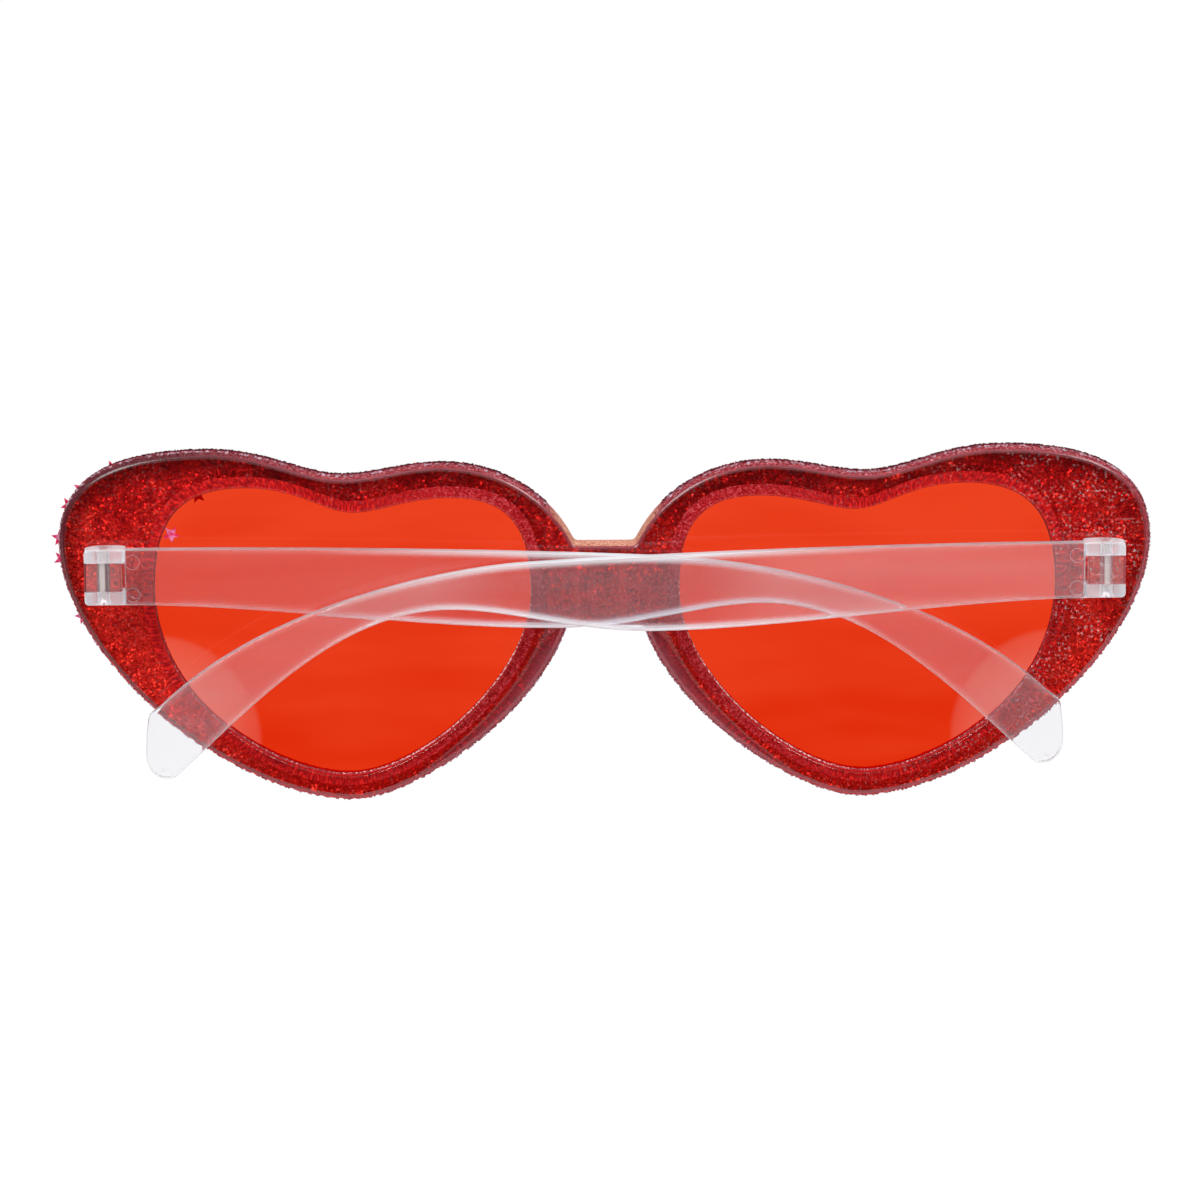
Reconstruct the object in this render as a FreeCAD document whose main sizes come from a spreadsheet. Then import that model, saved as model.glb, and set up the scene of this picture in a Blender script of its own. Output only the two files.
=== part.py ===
# Heart shaped sunglasses, folded: a flat clear front with a glitter facing and two heart lenses,
# and two flat clear temples on screw hinges. Millimetres, +Z up as worn, face towards +Y,
# origin on the nose saddle: the underside of the bridge, at the back of the front.
import FreeCAD, Part
import math
import os

from FreeCAD import Placement, Rotation, Vector

SIZES = {
    # Outline of the front, right of the middle. Heights and drops are from the nose saddle.
    "bridge_half_width": 4.2,
    "bridge_height": 11.6,
    "rim_inner_lobe_x": 22.9,
    "rim_inner_lobe_top": 22.9,
    "rim_notch_x": 36.6,
    "rim_notch_top": 21.3,
    "rim_outer_lobe_x": 55.5,
    "rim_outer_lobe_top": 24.9,
    "rim_side_x": 76.2,
    "rim_side_rise": 12.0,
    "rim_tip_x": 35.6,
    "rim_tip_drop": 24.7,
    "saddle_half_width": 5.5,
    # Width of the rim between its outline and the window, and where the window turns.
    "inner_lobe_width": 4.6,
    "notch_width": 5.0,
    "outer_lobe_width": 5.0,
    "side_width": 13.0,
    "tip_width": 3.5,
    "window_inner_x": 10.2,
    "window_inner_rise": 5.1,
    "window_inner_lobe_x": 21.6,
    "window_notch_x": 35.1,
    "window_outer_lobe_x": 50.4,
    "window_side_rise": 5.3,
    "window_tip_x": 36.3,
    # Section of the front, from the back to the face.
    "frame_depth": 3.8,
    "frame_edge_radius": 1.0,
    "window_edge_radius": 0.4,
    "bridge_corner": 0.55,
    "groove_start": 1.3,
    "lens_thickness": 1.2,
    "lens_margin": 1.5,
    "lens_clearance": 0.05,
    "facing_thickness": 0.4,
    "facing_inset": 0.15,
    # Star sequins on the facing.
    "star_radius": 1.25,
    "star_waist": 0.55,
    "star_thickness": 0.25,
    # Hinge, measured from the screw's axis.
    "hinge_inset": 6.4,
    "hinge_rise": 8.15,
    "pin_setback": 2.85,
    "lug_height": 3.95,
    "lug_half_width": 2.65,
    "lug_outer": 1.4,
    "lug_corner_radius": 0.4,
    "lug_sink": 0.95,
    "knuckle_clearance": 0.25,
    "shoulder_radius": 1.5,
    "prong_height": 1.87,
    "fork_clearance": 0.08,
    "fork_root_clearance": 0.18,
    "fork_root_radius": 0.35,
    "end_clearance": 0.2,
    "end_corner_radius": 0.6,
    "screw_radius": 0.88,
    "screw_running_clearance": 0.05,
    "screw_seat_clearance": 0.02,
    "screw_recess": 0.2,
    "head_overhang": 0.3,
    "head_height": 0.8,
    "driver_slot_width": 0.35,
    "driver_slot_depth": 0.35,
    # Temple: the bend over the ear is measured from the screw's axis along the arm, the belly, waist
    # and ear tip from the bend, and heights up or down from the hinge's middle.
    "temple_thickness": 2.2,
    "temple_outer": 1.5,
    "temple_edge_radius": 0.35,
    "bend_x": 80.4,
    "bend_rise": 2.0,
    "belly_before_bend": 17.0,
    "belly_drop": 7.8,
    "waist_past_bend": 11.1,
    "waist_drop": 4.4,
    "tip_past_bend": 53.5,
    "tip_top_drop": 17.5,
    "tip_bottom_drop": 27.8,
    "tip_slant": 0.35,
    "tip_corner": 1.9,
    "tip_heel": 3.4,
    "tip_toe": 2.6,
    # Round marks that the mould's ejector pins leave on a temple's inner side.
    "mark_x": 4.5,
    "mark_spacing": 4.4,
    "mark_radius": 1.0,
    "mark_depth": 0.12,
    # How the temples lie folded: one tucked against the front, the other over it.
    "tip_clearance": 0.2,
    "arm_clearance": 0.25,
    "arms_meet_reach": 114.0,
    # How far a cut runs past the surface that it opens.
    "cut_overrun": 1.0,
}

# Star sequins at the wearer's left end: right and up from the rim's side, and their turn in degrees.
# Most are on the glitter, a few past the edge of the rim, and one is on the back of the lens.
FACE_STARS = [
    (-0.3, 0.4, 20),
    (-0.1, -2.6, 62),
    (2.7, -10.8, 35),
    (1.1, 5.0, 50),
    (2.9, 7.3, 5),
    (7.3, 10.2, 40),
    (10.9, -3.2, 15),
    (19.2, 6.4, 30),
]
LENS_STARS = [
    (15.6, 1.3, 58),
]
STAR_POINTS = 5

# Headings of the rim where it leaves the bridge and where it comes back to the saddle, in degrees,
# and the fullness that makes a corner round or a straight run even.
RIM_RISE = 63
RIM_RETURN = 109
ROUND = 0.38
STRAIGHT = 0.33

# A rounded edge is made of narrow bands: two on the front and the temples, one on the finer window edge.
EDGE_BANDS = 2
FINE_BANDS = 1

LEFT = -1
RIGHT = 1
NAMES = {LEFT: "left", RIGHT: "right"}

doc = FreeCAD.newDocument("heart_sunglasses")
sheet = doc.addObject("Spreadsheet::Sheet", "sizes")
for row, (alias, value) in enumerate(SIZES.items(), start=1):
    sheet.set(f"A{row}", alias)
    sheet.set(f"B{row}", str(value))
    sheet.setAlias(f"B{row}", alias)
doc.recompute()


def size(alias):
    return float(sheet.get(alias))


pin_x = size("rim_side_x") - size("hinge_inset")
knuckle_radius = size("pin_setback") - size("knuckle_clearance")
fork_half = size("lug_height") / 2 + size("fork_clearance")
root_half = fork_half + size("prong_height")
lug_corner = size("lug_corner_radius")
lug_reach = math.hypot(size("lug_half_width") - lug_corner, size("lug_outer") - lug_corner) + lug_corner
fork_root = lug_reach + size("fork_root_clearance")
end_reach = size("pin_setback") - size("end_clearance")
inner_face = size("temple_thickness") - size("temple_outer")
temple_reach = size("bend_x") + size("tip_past_bend")


def heading(degrees):
    return Vector(math.cos(math.radians(degrees)), math.sin(math.radians(degrees)), 0)


def smooth_run(stations, grow, side):
    """Curves through stations of x, z, heading in degrees, and fullness before and after the station.

    Fullness is how far a curve follows the heading, as a share of the distance to the next station.
    Each station is pushed out by grow, to the left of its heading, and mirrored on the left side.
    """
    placed = []
    for x, z, degrees, full_in, full_out in stations:
        along = heading(degrees)
        outward = Vector(-along.y, along.x, 0)
        placed.append((Vector(x, z, 0) + outward * grow, along, full_in, full_out))
    curves = []
    for (start, leave, _, full_out), (end, arrive, full_in, _) in zip(placed, placed[1:]):
        span = start.distanceToPoint(end)
        poles = [start, start + leave * full_out * span, end - arrive * full_in * span, end]
        curve = Part.BezierCurve()
        curve.setPoles([Vector(pole.x * side, pole.y, 0) for pole in poles])
        curves.append(curve.toBSpline())
    return curves


def rim_stations():
    """The right rim, clockwise from the top of the bridge to the saddle, with both corners rounded."""
    leg = size("bridge_corner")
    rise = heading(RIM_RISE) * leg
    fall = heading(RIM_RETURN) * leg
    return [
        (size("bridge_half_width") - leg, size("bridge_height"), 0, 0, ROUND),
        (size("bridge_half_width") + rise.x, size("bridge_height") + rise.y, RIM_RISE, ROUND, 0.34),
        (size("rim_inner_lobe_x"), size("rim_inner_lobe_top"), 0, 0.39, 0.38),
        (size("rim_notch_x"), size("rim_notch_top"), 0, 0.33, 0.29),
        (size("rim_outer_lobe_x"), size("rim_outer_lobe_top"), 0, 0.43, 0.52),
        (size("rim_side_x"), size("rim_side_rise"), -90, 0.39, 0.30),
        (size("rim_tip_x"), -size("rim_tip_drop"), 180, 0.31, 0.20),
        (size("saddle_half_width") - fall.x, -fall.y, RIM_RETURN, 0.36, ROUND),
        (size("saddle_half_width") - leg, 0, 180, ROUND, 0),
    ]


def window_stations():
    """The right lens window, clockwise from its side by the nose, closed."""
    lobe_top = size("rim_inner_lobe_top") - size("inner_lobe_width")
    notch_top = size("rim_notch_top") - size("notch_width")
    outer_top = size("rim_outer_lobe_top") - size("outer_lobe_width")
    side_x = size("rim_side_x") - size("side_width")
    tip_drop = size("rim_tip_drop") - size("tip_width")
    start = (size("window_inner_x"), size("window_inner_rise"), 90, 0.33, 0.48)
    return [
        start,
        (size("window_inner_lobe_x"), lobe_top, 0, 0.50, 0.45),
        (size("window_notch_x"), notch_top, 0, 0.26, 0.26),
        (size("window_outer_lobe_x"), outer_top, 0, 0.50, 0.50),
        (side_x, size("window_side_rise"), -90, 0.49, 0.46),
        (size("window_tip_x"), -tip_drop, 180, 0.23, 0.28),
        start,
    ]


def front_outline(grow):
    """Both rims joined by the top of the bridge and by the saddle."""
    left = smooth_run(rim_stations(), grow, LEFT)
    right = smooth_run(rim_stations(), grow, RIGHT)
    bridge_top = Part.LineSegment(left[0].StartPoint, right[0].StartPoint)
    saddle = Part.LineSegment(left[-1].EndPoint, right[-1].EndPoint)
    return left + right + [bridge_top, saddle]


def window_outline(side):
    """The lens window on one side, as a function of how far it grows."""
    return lambda grow: smooth_run(window_stations(), grow, side)


def windows_outline(grow):
    return window_outline(LEFT)(grow) + window_outline(RIGHT)(grow)


def line(start, end):
    return Part.LineSegment(Vector(*start, 0), Vector(*end, 0))


def polygon(points):
    return [line(a, b) for a, b in zip(points, points[1:] + points[:1])]


def corner_arc(corner, radius, x_way, y_way):
    """The arc that rounds a square corner, whose sides leave it along x_way and y_way (1 or -1)."""
    x, y = corner
    near = radius * (1 - math.sqrt(0.5))
    return Part.Arc(
        Vector(x + x_way * radius, y, 0),
        Vector(x + x_way * near, y + y_way * near, 0),
        Vector(x, y + y_way * radius, 0),
    )


def new_body(label):
    body = doc.addObject("PartDesign::Body", label)
    body.Label = label
    return body


def sketch_on(body, name, role, curves, offset=None):
    """A sketch on one of the body's own planes; offset is an expression along the plane's normal."""
    sketch = body.newObject("Sketcher::SketchObject", name)
    plane = next(item for item in body.Origin.OriginFeatures if item.Role == role)
    sketch.AttachmentSupport = [(plane, "")]
    sketch.MapMode = "FlatFace"
    if offset:
        sketch.setExpression("AttachmentOffset.Base.z", offset)
    for curve in curves:
        sketch.addGeometry(curve, False)
    return sketch


def add_pad(body, sketch, length, towards_face=False, symmetric=False):
    feature = body.newObject("PartDesign::Pad", sketch.Name + "_pad")
    feature.Profile = sketch
    feature.setExpression("Length", length)
    feature.Reversed = towards_face
    if symmetric:
        feature.SideType = "Symmetric"
    doc.recompute()
    return feature


def rounded_edge(radius, bands):
    """How far a rounded edge lies inside its outline, and below its face, at each end of its bands."""
    turns = [math.pi / 2 * band / bands for band in range(bands + 1)]
    return [(radius * (1 - math.sin(turn)), radius * (1 - math.cos(turn))) for turn in turns]


def add_loft(body, kind, name, outline, sections):
    """Straight walls through sections: how far the outline grows at each, and its distance along Y."""
    sketches = []
    for step, (grow, y) in enumerate(sections):
        sketch = sketch_on(body, f"{name}_{step}", "XZ_Plane", outline(grow))
        sketch.AttachmentOffset = Placement(Vector(0, 0, -y), Rotation())
        sketches.append(sketch)
    feature = body.newObject("PartDesign::" + kind, name)
    feature.Profile = sketches[0]
    feature.Sections = sketches[1:]
    feature.Ruled = True
    doc.recompute()
    return feature


def check_cut(body, feature, before):
    """A cut that points away from the solid removes nothing and shows no error."""
    doc.recompute()
    if body.Shape.Volume >= before:
        raise RuntimeError(f"{feature.Name} cuts nothing")


def add_pocket(body, sketch, length=None):
    """A pocket of the given depth towards the face, or right through both ways."""
    before = body.Shape.Volume
    feature = body.newObject("PartDesign::Pocket", sketch.Name + "_pocket")
    feature.Profile = sketch
    if length:
        feature.setExpression("Length", length)
    else:
        feature.Type = "ThroughAll"
        feature.SideType = "Symmetric"
    check_cut(body, feature, before)
    return feature


def turn_about_screw(feature, sketch):
    feature.Profile = sketch
    feature.ReferenceAxis = (sketch, ["V_Axis"])
    feature.Angle = 360


def lug_outline(side):
    """Plan of one hinge lug, rooted in the front, with rounded free corners and the screw's bore."""
    near = side * pin_x - size("lug_half_width")
    far = side * pin_x + size("lug_half_width")
    back = -size("pin_setback") - size("lug_outer")
    root = size("lug_sink")
    r = lug_corner
    bore = size("screw_radius") + size("screw_running_clearance")
    return [
        line((near, root), (far, root)),
        line((far, root), (far, back + r)),
        corner_arc((far, back), r, -1, 1),
        line((far - r, back), (near + r, back)),
        corner_arc((near, back), r, 1, 1),
        line((near, back + r), (near, root)),
        Part.Circle(Vector(side * pin_x, -size("pin_setback"), 0), Vector(0, 0, 1), bore),
    ]


def make_front_frame():
    """The clear moulding: plate, windows, lens grooves and the two hinge lugs."""
    body = new_body("front_frame")
    face = (0, size("frame_depth"))
    rim_edge = [(-inset, depth) for inset, depth in rounded_edge(size("frame_edge_radius"), EDGE_BANDS)]
    add_loft(body, "AdditiveLoft", "plate", front_outline, rim_edge + [face])
    window_edge = rounded_edge(size("window_edge_radius"), FINE_BANDS)
    for side in (LEFT, RIGHT):
        before = body.Shape.Volume
        name = "window_" + NAMES[side]
        cut = add_loft(body, "SubtractiveLoft", name, window_outline(side), window_edge + [face])
        check_cut(body, cut, before)

    groove = windows_outline(size("lens_margin") + size("lens_clearance"))
    sketch = sketch_on(body, "groove_outline", "XZ_Plane", groove, "-sizes.groove_start")
    add_pocket(body, sketch, "sizes.lens_thickness + 2 * sizes.lens_clearance")

    lugs = lug_outline(LEFT) + lug_outline(RIGHT)
    sketch = sketch_on(body, "lug_outline", "XY_Plane", lugs, "sizes.hinge_rise")
    add_pad(body, sketch, "sizes.lug_height", symmetric=True)
    return body


def make_glitter_facing():
    """The glitter layer on the face, kept a little inside the moulding's edges."""
    body = new_body("glitter_facing")
    inset = size("facing_inset")
    curves = front_outline(-inset) + windows_outline(inset)
    sketch = sketch_on(body, "facing_outline", "XZ_Plane", curves, "-sizes.frame_depth")
    add_pad(body, sketch, "sizes.facing_thickness", towards_face=True)
    return body


def star_outlines(stars):
    curves = []
    for right, up, turn in stars:
        points = []
        for step in range(2 * STAR_POINTS):
            radius = size("star_radius") if step % 2 == 0 else size("star_waist")
            spoke = heading(turn + 180 * step / STAR_POINTS) * radius
            points.append((right - size("rim_side_x") + spoke.x, size("rim_side_rise") + up + spoke.y))
        curves += polygon(points)
    return curves


def make_star_sequins():
    """Thin star sequins stuck on the glitter and on the back of the lens."""
    body = new_body("star_sequins")
    on_glitter = "-sizes.frame_depth - sizes.facing_thickness"
    sketch = sketch_on(body, "face_stars", "XZ_Plane", star_outlines(FACE_STARS), on_glitter)
    add_pad(body, sketch, "sizes.star_thickness", towards_face=True)
    on_lens = "-sizes.groove_start - sizes.lens_clearance"
    sketch = sketch_on(body, "lens_stars", "XZ_Plane", star_outlines(LENS_STARS), on_lens)
    add_pad(body, sketch, "sizes.star_thickness")
    return body


def make_lens(side):
    """A flat lens whose margin sits in the groove all round."""
    body = new_body("lens_" + NAMES[side])
    curves = window_outline(side)(size("lens_margin"))
    offset = "-sizes.groove_start - sizes.lens_clearance"
    sketch = sketch_on(body, "lens_outline_" + NAMES[side], "XZ_Plane", curves, offset)
    add_pad(body, sketch, "sizes.lens_thickness", towards_face=True)
    return body


def temple_stations():
    """A temple from the side, from the top of the fork's root round by the ear tip and the fork's end."""
    bend = size("bend_x")
    top = -size("tip_top_drop")
    bottom = -size("tip_bottom_drop")
    upright = temple_reach - size("tip_slant")
    corner = size("tip_corner")
    toe = size("tip_toe")
    r = size("end_corner_radius")
    start = (fork_root, root_half, 0, STRAIGHT, 0.31)
    return [
        start,
        (bend, size("bend_rise"), -3, 0.32, 0.22),
        (upright - corner, top, -44, 0.36, 0.38),
        (upright, top - corner, -83, 0.38, 0.34),
        (temple_reach, bottom + size("tip_heel"), -90, 0.34, 0.40),
        (temple_reach - toe, bottom, 184, 0.38, 0.46),
        (temple_reach - 2 * toe, bottom + toe / 2, 137, 0.46, 0.34),
        (bend + size("waist_past_bend"), -size("waist_drop"), 180, 0.34, 0.29),
        (bend - size("belly_before_bend"), -size("belly_drop"), 180, 0.37, 0.31),
        (fork_root, -root_half, 180, 0.31, STRAIGHT),
        (r - end_reach, -root_half, 180, STRAIGHT, ROUND),
        (-end_reach, r - root_half, 90, ROUND, STRAIGHT),
        (-end_reach, root_half - r, 90, STRAIGHT, ROUND),
        (r - end_reach, root_half, 0, ROUND, STRAIGHT),
        start,
    ]


def temple_outline(inward):
    """A temple from the side, inward along the folded arm, as a function of how far it grows."""
    return lambda grow: smooth_run(temple_stations(), grow, inward)


def knuckle_outline(inward):
    """Plan of the knuckles: round at the end, with a rounded shoulder in line with the fork's root."""
    r = knuckle_radius
    shoulder = inward * fork_root
    bend = size("shoulder_radius")
    return [
        corner_arc((-inward * r, r), r, inward, -1),
        line((0, r), (shoulder - inward * bend, r)),
        corner_arc((shoulder, r), bend, -inward, -1),
        line((shoulder, r - bend), (shoulder, 0)),
        line((shoulder, 0), (-inward * r, 0)),
    ]


def fork_slot(inward):
    """The gap of the fork, open at the end and rounded at its root."""
    r = size("fork_root_radius")
    root = inward * fork_root
    mouth = -inward * (end_reach + size("cut_overrun"))
    curves = [
        line((mouth, fork_half), (mouth, -fork_half)),
        line((root, fork_half - r), (root, r - fork_half)),
    ]
    for up in (1, -1):
        curves.append(line((mouth, up * fork_half), (root - inward * r, up * fork_half)))
        curves.append(corner_arc((root, up * fork_half), r, -inward, -up))
    return curves


def screw_profile(clearance, top):
    """Half section of the countersunk screw, grown by clearance, head at the bottom."""
    shank = size("screw_radius") + clearance
    head = shank + size("head_overhang")
    neck = -root_half + size("head_height")
    return polygon([(0, top), (shank, top), (shank, neck), (head, -root_half), (0, -root_half)])


def hinge_place(side):
    """Where a temple's own frame sits: on the screw's axis, turned to how the temple lies folded."""
    tuck = (size("pin_setback") - inner_face - size("tip_clearance")) / temple_reach
    room = size("temple_thickness") + size("arm_clearance") - size("arms_meet_reach") * tuck
    lift = room / (2 * pin_x - size("arms_meet_reach"))
    turn = math.degrees(math.atan(tuck if side == LEFT else lift))
    axis_foot = Vector(side * pin_x, -size("pin_setback"), size("hinge_rise"))
    return Placement(axis_foot, Rotation(Vector(0, 0, 1), turn))


def make_temple(side):
    """A flat temple whose hinge end is a fork of two round knuckles, bored for the screw."""
    name = NAMES[side]
    body = new_body("temple_" + name)
    inner = "sizes.temple_outer - sizes.temple_thickness"
    edge = rounded_edge(size("temple_edge_radius"), EDGE_BANDS)
    inner_edge = [(-inset, inner_face - depth) for inset, depth in edge]
    outer_edge = [(-inset, depth - size("temple_outer")) for inset, depth in reversed(edge)]
    add_loft(body, "AdditiveLoft", "arm_" + name, temple_outline(-side), inner_edge + outer_edge)

    sketch = sketch_on(body, "knuckle_" + name, "XY_Plane", knuckle_outline(-side))
    height = "sizes.lug_height + 2 * sizes.fork_clearance + 2 * sizes.prong_height"
    add_pad(body, sketch, height, symmetric=True)
    add_pocket(body, sketch_on(body, "fork_slot_" + name, "XZ_Plane", fork_slot(-side)))

    marks = []
    for up in (1, -1):
        centre = Vector(-side * size("mark_x"), up * size("mark_spacing") / 2, 0)
        marks.append(Part.Circle(centre, Vector(0, 0, 1), size("mark_radius")))
    floor = inner + " + sizes.mark_depth"
    add_pocket(body, sketch_on(body, "ejector_marks_" + name, "XZ_Plane", marks, floor), "sizes.mark_depth")

    before = body.Shape.Volume
    seat = body.newObject("PartDesign::Groove", "screw_seat_" + name)
    above = root_half + size("cut_overrun")
    profile = screw_profile(size("screw_seat_clearance"), above)
    turn_about_screw(seat, sketch_on(body, "screw_seat_section_" + name, "XZ_Plane", profile))
    body.Tip = seat
    check_cut(body, seat, before)
    body.Placement = hinge_place(side)
    return body


def make_hinge_screw(side):
    """A steel screw with a countersunk, slotted head, put in from below."""
    name = NAMES[side]
    body = new_body("hinge_screw_" + name)
    profile = screw_profile(0, root_half - size("screw_recess"))
    sketch = sketch_on(body, "screw_section_" + name, "XZ_Plane", profile)
    turn_about_screw(body.newObject("PartDesign::Revolution", "screw_" + name), sketch)
    doc.recompute()

    half = size("driver_slot_width") / 2
    top = -root_half + size("driver_slot_depth")
    below = -root_half - size("cut_overrun")
    slot = polygon([(-half, below), (half, below), (half, top), (-half, top)])
    add_pocket(body, sketch_on(body, "driver_slot_" + name, "XZ_Plane", slot))
    body.Placement = hinge_place(side)
    return body


bodies = [make_front_frame(), make_glitter_facing(), make_star_sequins()]
for hand in (LEFT, RIGHT):
    bodies += [make_lens(hand), make_temple(hand), make_hinge_screw(hand)]
doc.recompute()

for item in doc.Objects:
    if "Invalid" in item.State or "Error" in item.State:
        raise RuntimeError(f"{item.Name} failed: {item.State}")
for body in bodies:
    if body.Shape.isNull() or not body.Shape.isValid():
        raise RuntimeError(f"{body.Label} has no valid shape")

os.makedirs("parts", exist_ok=True)
for body in bodies:
    body.Shape.exportStep(f"parts/{body.Label}.step")
    print(f"{body.Label}: {len(body.Shape.Solids)} solids, {body.Shape.Volume:.1f} mm3")
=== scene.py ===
import bmesh
import bpy
import math

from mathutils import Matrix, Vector
from mathutils.bvhtree import BVHTree


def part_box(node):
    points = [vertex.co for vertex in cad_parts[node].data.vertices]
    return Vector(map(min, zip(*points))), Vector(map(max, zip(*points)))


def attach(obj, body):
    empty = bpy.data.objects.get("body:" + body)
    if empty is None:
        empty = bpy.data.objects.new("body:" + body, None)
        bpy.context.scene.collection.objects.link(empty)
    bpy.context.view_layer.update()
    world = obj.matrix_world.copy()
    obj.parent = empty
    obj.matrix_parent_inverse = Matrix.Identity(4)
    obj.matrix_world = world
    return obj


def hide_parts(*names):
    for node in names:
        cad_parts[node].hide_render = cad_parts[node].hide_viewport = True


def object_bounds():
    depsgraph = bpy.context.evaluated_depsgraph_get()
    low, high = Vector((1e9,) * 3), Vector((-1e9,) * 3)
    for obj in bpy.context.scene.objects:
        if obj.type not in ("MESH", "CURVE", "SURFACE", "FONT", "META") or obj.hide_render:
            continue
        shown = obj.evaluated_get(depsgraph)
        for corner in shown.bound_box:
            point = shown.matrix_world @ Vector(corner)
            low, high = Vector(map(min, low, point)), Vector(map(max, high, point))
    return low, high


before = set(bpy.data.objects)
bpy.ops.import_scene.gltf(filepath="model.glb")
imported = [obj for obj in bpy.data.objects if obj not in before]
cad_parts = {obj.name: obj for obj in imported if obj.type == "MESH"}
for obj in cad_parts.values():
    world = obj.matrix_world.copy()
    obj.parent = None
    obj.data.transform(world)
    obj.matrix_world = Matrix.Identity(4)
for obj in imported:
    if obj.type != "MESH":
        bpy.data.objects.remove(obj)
cad_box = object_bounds()

# The front moulding: one clear acrylic plate with two heart windows and a hinge lug at each end.
# Its back is polished, its sawn and tumbled edges carry a film of resin and glitter dust from the face,
# and the wearer's right end is dusty and scratched; along its top the film grows darker towards the left
# end.
MM = 0.001
MERGE = 0.001 * MM
FLAT = 0.995
WALL = 0.05
ROUNDED = 0.6
OUTWARD = -0.25
SOFT_CORNER = math.cos(math.radians(50))
GROOVE_START = 1.3 * MM
GROOVE_END = 2.6 * MM
WALL_GAP = 0.1 * MM
ACRYLIC_IOR = 1.49
RIPPLE = 9 * MM
RIPPLE_DEPTH = 0.05 * MM
DUST_GRAIN = 0.45 * MM
DUST_START = 40 * MM
DUST_FULL = 74 * MM
SMUDGE = 5 * MM
HAIR = 0.5 * MM
LUG_START = -0.1 * MM
LUG_FULL = -0.6 * MM
DARKER_START = -40 * MM
DARKER_FULL = -62 * MM
DARKER_SHARE = 0.75
NOSE_TOP_HALF = 5.5 * MM
NOSE_SLOPE = -0.32
NOSE_CURVE = 0.0255 / MM
NOSE_BAND_EDGE = 3.2 * MM
NOSE_BAND_FULL = 0.8 * MM
NOSE_BAND_TOP = 1 * MM
NOSE_BAND_LOW = -4 * MM
NOSE_FAR = 34 * MM
NOSE_NEAR = 20 * MM
BRIDGE_HALF = 8 * MM
BRIDGE_LOW = 3 * MM
LENS_MIDDLE_X = 37 * MM
RIM_REACH = 22 * MM
FILM_SHARE = 0.5
FILM_GRAIN = 0.28 * MM
FILM_LUMPS = 0.15 * MM
FILM_RUN = 0.32 * MM
RUN_STRETCH = 0.35
FILM_PAINTED_GLOW = [(0.34, "#980A10"), (0.5, "#C81318"), (0.66, "#F82A22")]
FILM_SILL = [(0.36, "#A01018"), (0.52, "#C81C24"), (0.68, "#DC5860")]
FILM_MAUVE = [(0.36, "#6A121A"), (0.52, "#A02E38"), (0.68, "#C8848C")]
FILM_TAN = [(0.36, "#A85A48"), (0.64, "#E0A88F")]


def linear(hex_colour):
    """An sRGB hex colour as linear red, green, blue and alpha."""
    channels = [int(hex_colour[i:i + 2], 16) / 255 for i in (1, 3, 5)]
    return tuple(c / 12.92 if c <= 0.04045 else ((c + 0.055) / 1.055) ** 2.4 for c in channels) + (1.0,)


def add_node(tree, kind, inputs=None, stops=(), **settings):
    """Adds a node and its settings. An input takes a value, a socket or a node's first output in use."""
    made = tree.nodes.new(kind)
    for name, value in settings.items():
        setattr(made, name, value)
    for key, value in (inputs or {}).items():
        if isinstance(value, bpy.types.Node):
            value = next(socket for socket in value.outputs if socket.enabled)
        if isinstance(value, bpy.types.NodeSocket):
            tree.links.new(value, made.inputs[key])
        else:
            made.inputs[key].default_value = value
    if stops:
        points = made.color_ramp.elements
        for _ in stops[2:]:
            points.new(0.5)
        for point, (place, colour) in zip(points, stops):
            point.position = place
            point.color = linear(colour)
    return made


def new_material(name):
    """An empty material and its node tree."""
    material = bpy.data.materials.new(name)
    material.use_nodes = True
    material.node_tree.nodes.clear()
    return material, material.node_tree


def whereabouts(tree):
    """A spot in the piece's own frame: as a vector, as three lengths, and its distance from the middle."""
    place = add_node(tree, "ShaderNodeTexCoord").outputs["Object"]
    spot = add_node(tree, "ShaderNodeSeparateXYZ", {0: place}).outputs
    return place, spot, add_node(tree, "ShaderNodeMath", {0: spot["X"]}, operation="ABSOLUTE")


def edge_share(tree, start=0.96, full=0.45):
    """0 on the flats of a plate and 1 on its edges, from the way its surface faces."""
    facing = add_node(tree, "ShaderNodeTexCoord").outputs["Normal"]
    across = add_node(tree, "ShaderNodeSeparateXYZ", {0: facing}).outputs["Y"]
    flat = add_node(tree, "ShaderNodeMath", {0: across}, operation="ABSOLUTE")
    span = {"Value": flat, "From Min": start, "From Max": full}
    return add_node(tree, "ShaderNodeMapRange", span, interpolation_type="SMOOTHSTEP")


def let_lamps_through(tree, surface, tint):
    """Lamps reach what lies behind clear plastic, which otherwise stops their rays."""
    lamp_ray = add_node(tree, "ShaderNodeLightPath").outputs["Is Shadow Ray"]
    clear = add_node(tree, "ShaderNodeBsdfTransparent", {"Color": tint})
    mixed = add_node(tree, "ShaderNodeMixShader", {0: lamp_ray, 1: surface, 2: clear})
    add_node(tree, "ShaderNodeOutputMaterial", {"Surface": mixed})


def darker_left_end(tree, across):
    """How much darker the film is; this grows towards the wearer's left end."""
    span = {"Value": across, "From Min": DARKER_START, "From Max": DARKER_FULL, "To Max": DARKER_SHARE}
    return add_node(tree, "ShaderNodeMapRange", span)


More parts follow.
